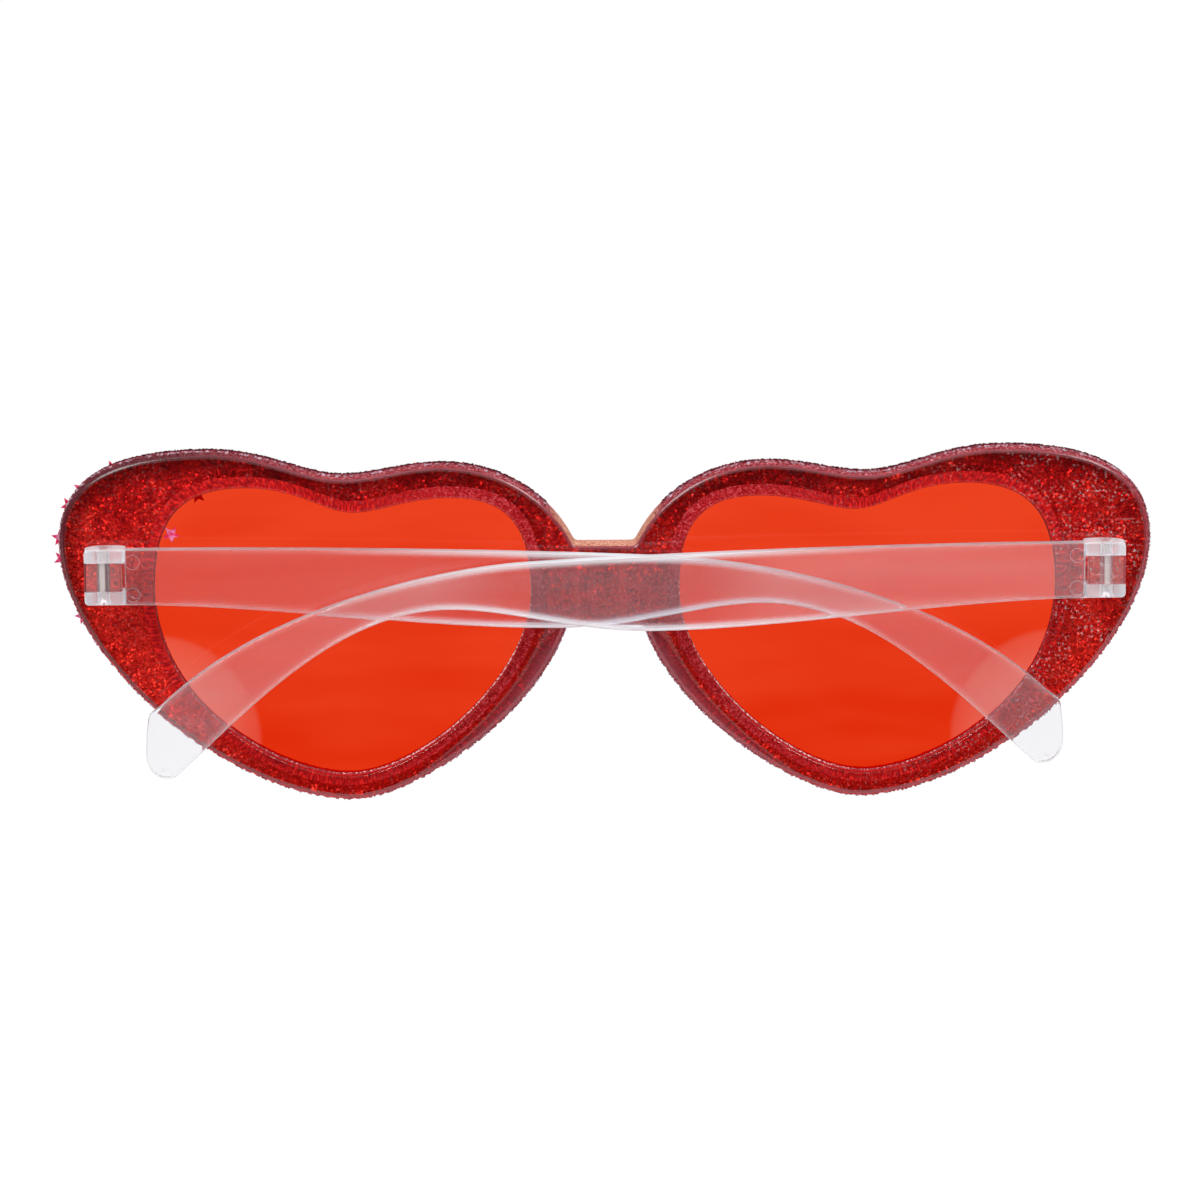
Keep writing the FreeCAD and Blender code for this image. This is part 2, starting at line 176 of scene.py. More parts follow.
def clear_acrylic():
    """Moulded acrylic: colourless and glossy, with filmed edges, cloudy lugs, dust at one end, and a pale
    mauve band beside the nose that is partly film and partly painted sheen.
    """
    material, tree = new_material("clear_acrylic")
    place, spot, sideways = whereabouts(tree)
    ripple = add_node(tree, "ShaderNodeTexNoise", {"Vector": place, "Scale": 1 / RIPPLE, "Detail": 1.0})
    waves = add_node(tree, "ShaderNodeBump", {"Height": ripple, "Strength": 0.25, "Distance": RIPPLE_DEPTH})
    outer = add_node(tree, "ShaderNodeAttribute", attribute_name="outer_edge").outputs["Fac"]
    dust = add_node(tree, "ShaderNodeTexNoise", {"Vector": place, "Scale": 1 / DUST_GRAIN, "Detail": 3.0})
    flecks = add_node(
        tree, "ShaderNodeMapRange", {"Value": dust, "From Min": 0.56, "From Max": 0.7, "To Max": 0.55}
    )
    dusty = add_node(
        tree,
        "ShaderNodeMapRange",
        {"Value": spot["X"], "From Min": DUST_START, "From Max": DUST_FULL, "To Min": 0.12},
    )
    smudge = add_node(tree, "ShaderNodeTexNoise", {"Vector": place, "Scale": 1 / SMUDGE, "Detail": 2.0})
    patches = add_node(tree, "ShaderNodeMapRange", {"Value": smudge, "From Min": 0.42, "From Max": 0.62})
    scratched = add_node(
        tree, "ShaderNodeMapping", {"Vector": place, "Rotation": (0.0, 0.5, 0.0), "Scale": (0.12, 1.0, 1.0)}
    )
    hairs = add_node(tree, "ShaderNodeTexNoise", {"Vector": scratched, "Scale": 1 / HAIR, "Detail": 1.0})
    hair_lines = add_node(
        tree, "ShaderNodeMapRange", {"Value": hairs, "From Min": 0.68, "From Max": 0.78, "To Max": 0.2}
    )
    dots = add_node(tree, "ShaderNodeMath", {0: flecks, 1: patches}, operation="MULTIPLY")
    marks = add_node(tree, "ShaderNodeMath", {0: dots, 1: hair_lines}, operation="MAXIMUM")
    specks = add_node(tree, "ShaderNodeMath", {0: marks, 1: dusty}, operation="MULTIPLY")
    lug = add_node(
        tree,
        "ShaderNodeMapRange",
        {"Value": spot["Y"], "From Min": LUG_START, "From Max": LUG_FULL, "To Max": 0.12},
    )
    # A pale mauve band beside the nose, below the bridge: partly resin film, partly a painted sheen of the
    # rounded edge.
    slope = add_node(
        tree, "ShaderNodeMath", {0: spot["Z"], 1: NOSE_CURVE, 2: NOSE_SLOPE}, operation="MULTIPLY_ADD"
    )
    gap = add_node(
        tree, "ShaderNodeMath", {0: slope, 1: spot["Z"], 2: NOSE_TOP_HALF}, operation="MULTIPLY_ADD"
    )
    off_nose = add_node(tree, "ShaderNodeMath", {0: sideways, 1: gap}, operation="SUBTRACT")
    nose_band = add_node(
        tree,
        "ShaderNodeMapRange",
        {"Value": off_nose, "From Min": NOSE_BAND_EDGE, "From Max": NOSE_BAND_FULL, "To Max": FILM_SHARE},
    )
    below = add_node(
        tree,
        "ShaderNodeMapRange",
        {"Value": spot["Z"], "From Min": NOSE_BAND_TOP, "From Max": NOSE_BAND_LOW},
    )
    nose_film_and_sheen = add_node(tree, "ShaderNodeMath", {0: nose_band, 1: below}, operation="MULTIPLY")
    edge = edge_share(tree, 0.999, 0.85)
    rounded = add_node(tree, "ShaderNodeMath", {0: edge, 1: outer}, operation="MULTIPLY")
    filmed = add_node(tree, "ShaderNodeMath", {0: rounded, 1: FILM_SHARE}, operation="MULTIPLY")
    film_and_sheen = add_node(tree, "ShaderNodeMath", {0: nose_film_and_sheen, 1: filmed}, operation="MAXIMUM")
    tinted = add_node(tree, "ShaderNodeMapRange", {"Value": film_and_sheen, "From Max": 0.15})
    # The film grows darker towards the wearer's left end.
    film = add_node(
        tree,
        "ShaderNodeMix",
        {"Factor": darker_left_end(tree, spot["X"]), "A": linear("#B0525E"), "B": linear("#4A1420")},
        data_type="RGBA",
    )
    haze_and_sheen = add_node(tree, "ShaderNodeMath", {0: specks, 1: film_and_sheen}, operation="ADD")
    milk_and_sheen = add_node(tree, "ShaderNodeMath", {0: haze_and_sheen, 1: lug}, operation="ADD")
    clear = add_node(tree, "ShaderNodeMath", {0: 1.0, 1: milk_and_sheen}, operation="SUBTRACT", use_clamp=True)
    colour = add_node(
        tree, "ShaderNodeMix", {"Factor": tinted, "A": linear("#FCFAFA"), "B": film}, data_type="RGBA"
    )
    gloss = add_node(tree, "ShaderNodeMapRange", {"Value": milk_and_sheen, "To Min": 0.02, "To Max": 0.3})
    plastic = add_node(
        tree,
        "ShaderNodeBsdfPrincipled",
        {
            "Base Color": colour,
            "Roughness": gloss,
            "IOR": ACRYLIC_IOR,
            "Transmission Weight": clear,
            "Normal": waves,
        },
    )
    let_lamps_through(tree, plastic, linear("#F4F2F2"))
    return material


def resin_film():
    """Dried red resin on the sawn edges: streaks of painted glow where it faces down and behind the lens,
    dusty and mauve where it faces up and beside the nose.
    """
    material, tree = new_material("resin_film")
    place, spot, sideways = whereabouts(tree)
    grain = add_node(tree, "ShaderNodeTexNoise", {"Vector": place, "Scale": 1 / FILM_GRAIN, "Detail": 2.0})
    across = add_node(tree, "ShaderNodeMath", {0: sideways, 1: LENS_MIDDLE_X}, operation="SUBTRACT")
    spoke = add_node(tree, "ShaderNodeCombineXYZ", {"X": across, "Y": spot["Z"]})
    turn = add_node(tree, "ShaderNodeTexGradient", {"Vector": spoke}, gradient_type="RADIAL")
    round_rim = {0: turn.outputs["Fac"], 1: math.tau * RIM_REACH / FILM_RUN}
    along = add_node(tree, "ShaderNodeMath", round_rim, operation="MULTIPLY")
    reach = add_node(tree, "ShaderNodeVectorMath", {0: spoke}, operation="LENGTH")
    outward = add_node(tree, "ShaderNodeMath", {0: reach, 1: RUN_STRETCH / FILM_RUN}, operation="MULTIPLY")
    drawn = add_node(tree, "ShaderNodeCombineXYZ", {"X": along, "Y": outward})
    runs = add_node(tree, "ShaderNodeTexNoise", {"Vector": drawn, "Scale": 1.0, "Detail": 2.0})
    # Painted glow: bright red streaks that stand in for light on the faces that look down and in the groove
    # behind the lens.
    painted_glow = add_node(tree, "ShaderNodeValToRGB", {"Fac": runs}, stops=FILM_PAINTED_GLOW)
    sill = add_node(tree, "ShaderNodeValToRGB", {"Fac": grain}, stops=FILM_SILL)
    mauve = add_node(tree, "ShaderNodeValToRGB", {"Fac": grain}, stops=FILM_MAUVE)
    tan = add_node(tree, "ShaderNodeValToRGB", {"Fac": grain}, stops=FILM_TAN)
    outer = add_node(tree, "ShaderNodeAttribute", attribute_name="outer_edge").outputs["Fac"]
    rise = add_node(tree, "ShaderNodeMath", {0: spot["Z"], 1: reach}, operation="DIVIDE")
    side = add_node(tree, "ShaderNodeMapRange", {"Value": outer, "To Min": -1.0})
    upward = add_node(tree, "ShaderNodeMath", {0: rise, 1: side}, operation="MULTIPLY")
    groove = add_node(tree, "ShaderNodeAttribute", attribute_name="behind_lens").outputs["Fac"]
    # Beside the nose the edges take the pale mauve, which is partly a painted sheen of the rounded edge.
    near_nose = add_node(
        tree, "ShaderNodeMapRange", {"Value": sideways, "From Min": NOSE_FAR, "From Max": NOSE_NEAR}
    )
    banded = add_node(tree, "ShaderNodeMath", {0: outer, 1: groove}, operation="MAXIMUM")
    at_nose = add_node(tree, "ShaderNodeMath", {0: near_nose, 1: banded}, operation="MULTIPLY")
    facing_up = add_node(tree, "ShaderNodeMapRange", {"Value": upward, "From Min": -0.2, "From Max": 0.3})
    bare = add_node(tree, "ShaderNodeMath", {0: 1.0, 1: groove}, operation="SUBTRACT")
    on_top = add_node(tree, "ShaderNodeMath", {0: facing_up, 1: bare}, operation="MULTIPLY")
    dusty = add_node(tree, "ShaderNodeMath", {0: on_top, 1: at_nose}, operation="MAXIMUM")
    # The mauve grows darker towards the wearer's left end.
    darkened_mauve = add_node(
        tree,
        "ShaderNodeMix",
        {"Factor": darker_left_end(tree, spot["X"]), "A": mauve, "B": linear("#34101A")},
        data_type="RGBA",
    )
    pale = add_node(tree, "ShaderNodeMix", {"Factor": outer, "A": sill, "B": darkened_mauve}, data_type="RGBA")
    # Faces that look up, and those beside the nose, take the pale colours; the rest take the painted glow.
    edges = add_node(tree, "ShaderNodeMix", {"Factor": dusty, "A": painted_glow, "B": pale}, data_type="RGBA")
    beside = add_node(
        tree,
        "ShaderNodeMapRange",
        {"Value": sideways, "From Min": BRIDGE_HALF * 0.8, "From Max": BRIDGE_HALF},
    )
    under = add_node(tree, "ShaderNodeMath", {0: spot["Z"], 1: BRIDGE_LOW}, operation="LESS_THAN")
    off_bridge = add_node(tree, "ShaderNodeMath", {0: beside, 1: under}, operation="MAXIMUM")
    colour = add_node(tree, "ShaderNodeMix", {"Factor": off_bridge, "A": tan, "B": edges}, data_type="RGBA")
    lumps = add_node(tree, "ShaderNodeBump", {"Height": grain, "Strength": 0.6, "Distance": FILM_LUMPS})
    film = add_node(
        tree,
        "ShaderNodeBsdfPrincipled",
        {"Base Color": colour, "Roughness": 0.7, "Specular IOR Level": 0.1, "Normal": lumps},
    )
    let_lamps_through(tree, film, linear("#D88078"))
    return material


def new_piece(name, mesh):
    """An object of the scene at the origin, whose place is in its mesh."""
    piece = bpy.data.objects.new(name, mesh)
    bpy.context.scene.collection.objects.link(piece)
    return piece


def seated(name, mesh, body, node_name=None):
    """A finished piece on its body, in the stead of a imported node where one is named."""
    piece = new_piece(name, mesh)
    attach(piece, body)
    if node_name:
        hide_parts(node_name)
    return piece


def merged_copy(node_name, piece_name, material):
    """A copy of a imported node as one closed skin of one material."""
    skin = bmesh.new()
    skin.from_mesh(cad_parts[node_name].data)
    bmesh.ops.remove_doubles(skin, verts=skin.verts, dist=MERGE)
    mesh = bpy.data.meshes.new(piece_name)
    skin.to_mesh(mesh)
    skin.free()
    mesh.materials.clear()
    mesh.materials.append(material)
    return mesh


def soften_edges(mesh):
    """Normals that run smoothly over rounded edges, and stay square on flats and at sharp corners."""
    around = [[] for _ in mesh.vertices]
    for face in mesh.polygons:
        for corner in face.vertices:
            around[corner].append(face.normal.copy())
    normals = []
    for face in mesh.polygons:
        for corner in face.vertices:
            near = [n for n in around[corner] if n.dot(face.normal) > SOFT_CORNER]
            flats = [n for n in near if abs(n.y) > FLAT]
            walls = [n for n in near if abs(n.y) < WALL]
            normals.append(sum(flats or walls or near, Vector()).normalized())
    for face in mesh.polygons:
        face.use_smooth = True
    mesh.normals_split_custom_set(normals)


def polished(node_name, piece_name, material, body):
    """A smooth-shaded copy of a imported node, in its place."""
    mesh = merged_copy(node_name, piece_name, material)
    soften_edges(mesh)
    return seated(piece_name, mesh, body, node_name)


lens_middles = [sum(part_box(name), Vector()) / 2 for name in ("lens_left", "lens_right")]


def looks_out(face):
    """True for a face of the outer edge, which looks away from the middle of the lens beside it."""
    middle = min(lens_middles, key=lambda m: (m - face.center).length)
    return face.normal.dot((face.center - middle).normalized()) > OUTWARD


front = polished("front_frame", "front_moulding", clear_acrylic(), "front")
front.data.materials.append(resin_film())
outer_marks = front.data.attributes.new("outer_edge", "FLOAT", "FACE")
groove_marks = front.data.attributes.new("behind_lens", "FLOAT", "FACE")
for face in front.data.polygons:
    behind_lens = face.normal.y > FLAT and abs(face.center.y - GROOVE_START) < WALL_GAP
    outside = looks_out(face) and not behind_lens
    outer_marks.data[face.index].value = float(outside)
    groove_marks.data[face.index].value = float(behind_lens)
    in_groove = not outside and GROOVE_START < face.center.y < GROOVE_END
    steep = abs(face.normal.y) < (ROUNDED if outside else 2 * WALL)
    if behind_lens or (steep and face.center.y > 0 and not in_groove):
        face.material_index = 1

# The glitter facing: red film glitter in a thin coat of red resin, spread on the face of the front.
# The resin bites into the moulding; flakes lie at all tilts on its face and against the plastic,
# and some spill round the edge, which makes the outline of the front rough.
FLAKE_WIDTH = 0.25 * MM
FLAKE_THICKNESS = 0.03 * MM
FLAKE_SMALL = 0.6
FLAKE_LARGE = 1.25
FLAKES_PER_SQUARE_MM = 15.5
CRUMB_WIDTH = 0.36 * MM
CRUMB_THICKNESS = 0.12 * MM
CRUMBS_PER_SQUARE_MM = 60
EDGE_LIFT = 0.16 * MM
EDGE_SPILL = 2.9 * MM
EDGE_TILT = 0.8
EDGE_SEED = 19
FACE_TILT = 0.5
BACK_TILT = 0.4
BACK_SINK = 0.12 * MM
BITE = 0.02 * MM
STEEP = 0.5
CLOUD = 5 * MM
DRIFT = 0.8 * MM
STREAK = 1.6 * MM
STREAK_LENGTH = 125 * MM
NOSE_HALF = 13 * MM
RIM_TOP = 22 * MM
RIM_LOW = -22 * MM
FRONT_LIFT = 0.12
FRONT_SWING = 1.1
RESIN_SHADES = [(0.2, "#82060C"), (0.5, "#B80E14"), (0.75, "#DC1416"), (1.0, "#FF3028")]
NOSE_SHADES = [(0.36, "#96101A"), (0.5, "#C41A20"), (0.64, "#FA3430")]
FLAKE_SHADES = [(0.2, "#82060C"), (0.5, "#BC0C12"), (0.75, "#E41416"), (1.0, "#FF3828")]
DUST_SHADES = [(0.0, "#24060C"), (0.4, "#4A0E18"), (0.75, "#82202C"), (0.92, "#A05A68"), (1.0, "#C0A0AE")]
RESIN_MIDDLE = sum(corner.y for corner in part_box("glitter_facing")) / 2


def glitter_level(tree, place, tone):
    """How bright the glitter is at a spot: its own tone, soft clouds, and painted light and glints low on
    the rims.
    """
    clouds = add_node(tree, "ShaderNodeTexNoise", {"Vector": place, "Scale": 1 / CLOUD, "Detail": 4.0})
    spot = add_node(tree, "ShaderNodeSeparateXYZ", {0: place}).outputs
    in_front = add_node(tree, "ShaderNodeMath", {0: spot["Y"], 1: RESIN_MIDDLE}, operation="GREATER_THAN")
    # Painted light: the glitter behind the face gets brighter and glints more towards the bottom of the
    # rims.
    lower = add_node(
        tree,
        "ShaderNodeMapRange",
        {"Value": spot["Z"], "From Min": RIM_TOP, "From Max": RIM_LOW, "To Min": 0.08, "To Max": 0.95},
    )
    painted_glint_swing = add_node(
        tree,
        "ShaderNodeMapRange",
        {"Value": spot["Z"], "From Min": RIM_TOP, "From Max": RIM_LOW, "To Min": 0.35},
    )
    drifts = add_node(tree, "ShaderNodeTexNoise", {"Vector": place, "Scale": 1 / DRIFT, "Detail": 1.0})
    drifted = add_node(
        tree,
        "ShaderNodeMapRange",
        {"Value": drifts, "From Min": 0.3, "From Max": 0.7, "To Min": -0.4, "To Max": 0.4},
    )
    lift = add_node(tree, "ShaderNodeMix", {"Factor": in_front, "A": lower, "B": FRONT_LIFT})
    swings = add_node(tree, "ShaderNodeMix", {"Factor": in_front, "A": painted_glint_swing, "B": FRONT_SWING})
    lit = add_node(tree, "ShaderNodeMath", {0: clouds, 1: lift}, operation="ADD")
    swing = add_node(tree, "ShaderNodeMath", {0: tone, 1: 0.5}, operation="SUBTRACT")
    glints = add_node(tree, "ShaderNodeMath", {0: swing, 1: drifted}, operation="ADD")
    own = add_node(tree, "ShaderNodeMath", {0: glints, 1: swings}, operation="MULTIPLY")
    return add_node(tree, "ShaderNodeMath", {0: lit, 1: own}, operation="ADD")


def red_resin():
    """Red glitter resin: crumbs of flake in a deep red binder, each turned its own way, in soft clouds."""
    material, tree = new_material("red_glitter_resin")
    place, _, sideways = whereabouts(tree)
    crumbs = add_node(tree, "ShaderNodeTexVoronoi", {"Vector": place, "Scale": 1 / FLAKE_WIDTH})
    tone = add_node(tree, "ShaderNodeSeparateColor", {"Color": crumbs.outputs["Color"]})
    level = glitter_level(tree, place, tone.outputs["Red"])
    shade = add_node(tree, "ShaderNodeValToRGB", {"Fac": level}, stops=RESIN_SHADES)
    drawn_up = (1 / STREAK, 0.0, 1 / STREAK_LENGTH)
    stretched = add_node(tree, "ShaderNodeMapping", {"Vector": place, "Scale": drawn_up})
    bands = add_node(tree, "ShaderNodeTexNoise", {"Vector": stretched, "Scale": 1.0, "Detail": 2.0})
    near_nose = add_node(
        tree,
        "ShaderNodeMapRange",
        {"Value": sideways, "From Min": NOSE_HALF, "From Max": NOSE_HALF * 0.6, "To Max": 0.8},
    )
    band_colour = add_node(tree, "ShaderNodeValToRGB", {"Fac": bands}, stops=NOSE_SHADES)
    colour = add_node(
        tree, "ShaderNodeMix", {"Factor": near_nose, "A": shade, "B": band_colour}, data_type="RGBA"
    )
    centred = add_node(
        tree, "ShaderNodeVectorMath", {0: crumbs.outputs["Color"], 1: (0.5, 0.5, 0.5)}, operation="SUBTRACT"
    )
    lean = add_node(tree, "ShaderNodeVectorMath", {0: centred, "Scale": 0.7}, operation="SCALE")
    upright = add_node(tree, "ShaderNodeNewGeometry").outputs["Normal"]
    leaning = add_node(tree, "ShaderNodeVectorMath", {0: upright, 1: lean}, operation="ADD")
    turned = add_node(tree, "ShaderNodeVectorMath", {0: leaning}, operation="NORMALIZE")
    resin = add_node(
        tree,
        "ShaderNodeBsdfPrincipled",
        {
            "Base Color": colour,
            "Metallic": 0.3,
            "Roughness": 0.42,
            "Specular IOR Level": 0.15,
            "Normal": turned,
        },
    )
    add_node(tree, "ShaderNodeOutputMaterial", {"Surface": resin})
    return material


def red_film_glitter():
    """Metallised red film: small bright squares, a deeper red where they lie in shade."""
    material, tree = new_material("red_film_glitter")
    place = add_node(tree, "ShaderNodeTexCoord").outputs["Object"]
    tone = add_node(tree, "ShaderNodeAttribute", attribute_name="flake_tone").outputs["Fac"]
    level = glitter_level(tree, place, tone)
    shade = add_node(tree, "ShaderNodeValToRGB", {"Fac": level}, stops=FLAKE_SHADES)
    film = add_node(
        tree,
        "ShaderNodeBsdfPrincipled",
        {"Base Color": shade, "Metallic": 0.7, "Roughness": 0.32, "Specular IOR Level": 0.15},
    )
    add_node(tree, "ShaderNodeOutputMaterial", {"Surface": film})
    return material


def edge_dust():
    """Glitter dust stuck round the edge: dull crumbs from near black to lilac grey."""
    material, tree = new_material("glitter_dust")
    tone = add_node(tree, "ShaderNodeAttribute", attribute_name="flake_tone").outputs["Fac"]
    shade = add_node(tree, "ShaderNodeValToRGB", {"Fac": tone}, stops=DUST_SHADES)
    dust = add_node(
        tree,
        "ShaderNodeBsdfPrincipled",
        {"Base Color": shade, "Metallic": 0.0, "Roughness": 0.75, "Specular IOR Level": 0.08},
    )
    add_node(tree, "ShaderNodeOutputMaterial", {"Surface": dust})
    return material


def maker_tree(name, labels):
    """A node tree that shapes a base mesh, with a named input for each size, and the inputs' sockets."""
    tree = bpy.data.node_groups.new(name, "GeometryNodeTree")
    tree.interface.new_socket("Geometry", in_out="INPUT", socket_type="NodeSocketGeometry")
    for label in labels:
        kind = "NodeSocketInt" if label == "Seed" else "NodeSocketFloat"
        tree.interface.new_socket(label, in_out="INPUT", socket_type=kind)
    tree.interface.new_socket("Geometry", in_out="OUTPUT", socket_type="NodeSocketGeometry")
    return tree, add_node(tree, "NodeGroupInput").outputs


def close_tree(tree, shape, material):
    """Ends a node tree with real geometry of one material."""
    real = add_node(tree, "GeometryNodeRealizeInstances", {0: shape})
    dressed = add_node(tree, "GeometryNodeSetMaterial", {"Geometry": real, "Material": material})
    add_node(tree, "NodeGroupOutput", {0: dressed})
    return tree


def scatter_tree(name, material):
    """Flakes on the faces marked as sown, each with its own tilt, size, depth and tone."""
    labels = ("Density", "Width", "Thickness", "Tilt", "Lift", "Sink", "Seed")
    tree, given = maker_tree(name, labels)
    seed = given["Seed"]
    sown = add_node(tree, "GeometryNodeInputNamedAttribute", {"Name": "sown"}, data_type="BOOLEAN")
    spots = add_node(
        tree,
        "GeometryNodeDistributePointsOnFaces",
        {
            "Mesh": given["Geometry"],
            "Selection": sown.outputs["Attribute"],
            "Density": given["Density"],
            "Seed": seed,
        },
    )
    upright = {0: spots.outputs["Normal"], "Scale": given["Lift"]}
    out = add_node(tree, "ShaderNodeVectorMath", upright, operation="SCALE")
    depth = add_node(
        tree, "FunctionNodeRandomValue", {2: 0.0, 3: given["Sink"], "Seed": seed}, data_type="FLOAT"
    )
    back = add_node(tree, "ShaderNodeMath", {0: depth, 1: -1.0}, operation="MULTIPLY")
    inward = add_node(tree, "ShaderNodeCombineXYZ", {"Y": back})
    offset = add_node(tree, "ShaderNodeVectorMath", {0: out, 1: inward}, operation="ADD")
    moved = add_node(
        tree, "GeometryNodeSetPosition", {"Geometry": spots.outputs["Points"], "Offset": offset}
    )
    lower = add_node(tree, "ShaderNodeMath", {0: given["Tilt"], 1: -1.0}, operation="MULTIPLY")
    low = add_node(tree, "ShaderNodeCombineXYZ", {"X": lower, "Y": lower, "Z": 0.0})
    high = add_node(tree, "ShaderNodeCombineXYZ", {"X": given["Tilt"], "Y": given["Tilt"], "Z": math.tau})
    lean = add_node(
        tree, "FunctionNodeRandomValue", {"Min": low, "Max": high, "Seed": seed}, data_type="FLOAT_VECTOR"
    )
    turn = add_node(tree, "FunctionNodeEulerToRotation", {0: lean})
    turned = add_node(
        tree,
        "FunctionNodeRotateRotation",
        {"Rotation": spots.outputs["Rotation"], "Rotate By": turn},
        rotation_space="LOCAL",
    )
    block = add_node(
        tree, "ShaderNodeCombineXYZ", {"X": given["Width"], "Y": given["Width"], "Z": given["Thickness"]}
    )
    flake = add_node(tree, "GeometryNodeMeshCube", {"Size": block})
    grown = add_node(
        tree, "FunctionNodeRandomValue", {2: FLAKE_SMALL, 3: FLAKE_LARGE, "Seed": seed}, data_type="FLOAT"
    )
    placed = add_node(
        tree,
        "GeometryNodeInstanceOnPoints",
        {"Points": moved, "Instance": flake.outputs["Mesh"], "Rotation": turned, "Scale": grown},
    )
    tone = add_node(tree, "FunctionNodeRandomValue", {2: 0.0, 3: 1.0, "Seed": seed}, data_type="FLOAT")
    toned = add_node(
        tree,
        "GeometryNodeStoreNamedAttribute",
        {"Geometry": placed, "Name": "flake_tone", "Value": tone},
        data_type="FLOAT",
        domain="INSTANCE",
    )
    return close_tree(tree, toned, material)


def sown_bed(mesh, wanted):
    """A copy of a mesh whose faces are marked where flakes lie."""
    bed = mesh.copy()
    marks = bed.attributes.new("sown", "BOOLEAN", "FACE")
    for face in bed.polygons:
        marks.data[face.index].value = wanted(face)
    return bed


def made_by(tree, base, piece_name, **sizes):
    """The plain mesh that a node tree makes from a base mesh."""
    carrier = new_piece(piece_name + "_carrier", base)
    maker = carrier.modifiers.new("maker", "NODES")
    maker.node_group = tree
    for item in tree.interface.items_tree:
        if item.in_out == "INPUT" and item.name in sizes:
            maker[item.identifier] = sizes[item.name]
    evaluated = carrier.evaluated_get(bpy.context.evaluated_depsgraph_get())
    mesh = bpy.data.meshes.new_from_object(evaluated)
    mesh.name = piece_name
    bpy.data.objects.remove(carrier)
    return mesh


resin_mesh = merged_copy("glitter_facing", "glitter_resin", red_resin())
back_of_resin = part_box("glitter_facing")[0].y
for vertex in resin_mesh.vertices:
    if vertex.co.y < back_of_resin + MERGE:
        vertex.co.y -= BITE
seated("glitter_resin", resin_mesh, "front", "glitter_facing")


def sow(piece_name, scatter, wanted, **sizes):
    """A piece of flakes sown on the wanted faces of the resin."""
    flakes = made_by(scatter, sown_bed(resin_mesh, wanted), piece_name, **sizes)
    seated(piece_name, flakes, "front")


def resin_half(depth, side):
    """A test for faces that look to the front (1) or the back (-1), on the left (-1) or the right (1)."""
    return lambda face: face.normal.y * depth > STEEP and face.center.x * side >= 0


def dusty_edge(face):
    """True for the outer edge of the resin, apart from the clean top of the bridge."""
    on_bridge = abs(face.center.x) < BRIDGE_HALF and face.center.z > 0
    return abs(face.normal.y) < STEEP and looks_out(face) and not on_bridge


flake_scatter = scatter_tree("flake_scatter", red_film_glitter())
dust_scatter = scatter_tree("dust_scatter", edge_dust())
for piece_name, depth, side, tilt, sink, seed in (
    ("glitter_face_left", 1, -1, FACE_TILT, 0.0, 4),
    ("glitter_face_right", 1, 1, FACE_TILT, 0.0, 7),
    ("glitter_back_left", -1, -1, BACK_TILT, BACK_SINK, 11),
    ("glitter_back_right", -1, 1, BACK_TILT, BACK_SINK, 15),
):
    sow(
        piece_name,
        flake_scatter,
        resin_half(depth, side),
        Density=FLAKES_PER_SQUARE_MM / MM**2,
        Width=FLAKE_WIDTH,
        Thickness=FLAKE_THICKNESS,
        Tilt=tilt,
        Lift=0.0,
        Sink=sink,
        Seed=seed,
    )
sow(
    "glitter_edge",
    dust_scatter,
    dusty_edge,
    Density=CRUMBS_PER_SQUARE_MM / MM**2,
    Width=CRUMB_WIDTH,
    Thickness=CRUMB_THICKNESS,
    Tilt=EDGE_TILT,
    Lift=EDGE_LIFT,
    Sink=EDGE_SPILL,
    Seed=EDGE_SEED,
)

# The star sequins: tiny stars punched from pink foil and dropped in the wet glitter at one end.
# Some reach past the edge of the front, and one has stuck to the back of the lens there.
STAR_GAP = 0.02 * MM
LENS_STAR_DEPTH = 2 * MM
CREASE = 0.8 * MM
CREASE_DEPTH = 0.1 * MM
FOIL_CREASE_SHEEN = [(0.35, "#F01050"), (0.5, "#FF2A70"), (0.66, "#FF8CBE")]


def pink_foil():
    """Pink metallised foil, with painted sheen and shade in patches that follow its creases."""
    material, tree = new_material("pink_foil")
    place = add_node(tree, "ShaderNodeTexCoord").outputs["Object"]
    crease = add_node(tree, "ShaderNodeTexNoise", {"Vector": place, "Scale": 1 / CREASE, "Detail": 2.0})
    # Painted sheen and shade: the colour follows the same creases that bend the surface.
    shade = add_node(tree, "ShaderNodeValToRGB", {"Fac": crease}, stops=FOIL_CREASE_SHEEN)
    bend = add_node(tree, "ShaderNodeBump", {"Height": crease, "Strength": 0.4, "Distance": CREASE_DEPTH})
    foil = add_node(
        tree,
        "ShaderNodeBsdfPrincipled",
        {"Base Color": shade, "Metallic": 0.15, "Roughness": 0.35, "Normal": bend},
    )
    add_node(tree, "ShaderNodeOutputMaterial", {"Surface": foil})
    return material


star_mesh = merged_copy("star_sequins", "stars", pink_foil())
for vertex in star_mesh.vertices:
    if vertex.co.y < LENS_STAR_DEPTH:
        vertex.co.y -= STAR_GAP
seated("stars", star_mesh, "front", "star_sequins")

# The lenses: flat orange-red acrylic, sawn to the heart and snapped into the grooves of the front.
# The faces are polished and slightly wavy, a pale crescent low at the outer corner is a painted reflection,
# and the sawn edges are dull and pale.
LENS_WAVE = 22 * MM
WAVE_DEPTH = 0.4 * MM
LENS_STREAK = 5 * MM
LENS_LOW = -24 * MM
LENS_HIGH = 20 * MM
LENS_COATING = linear("#A0A0A0")
SHEEN_CENTRE = (63.7 * MM, -16.3 * MM, 0.0)
SHEEN_RADIUS = 15.4 * MM
LENS_DYE = [(0.0, "#E12D09"), (1.0, "#EC4220")]
LENS_SAWN = [(0.3, "#C08A92"), (0.7, "#8A2428")]


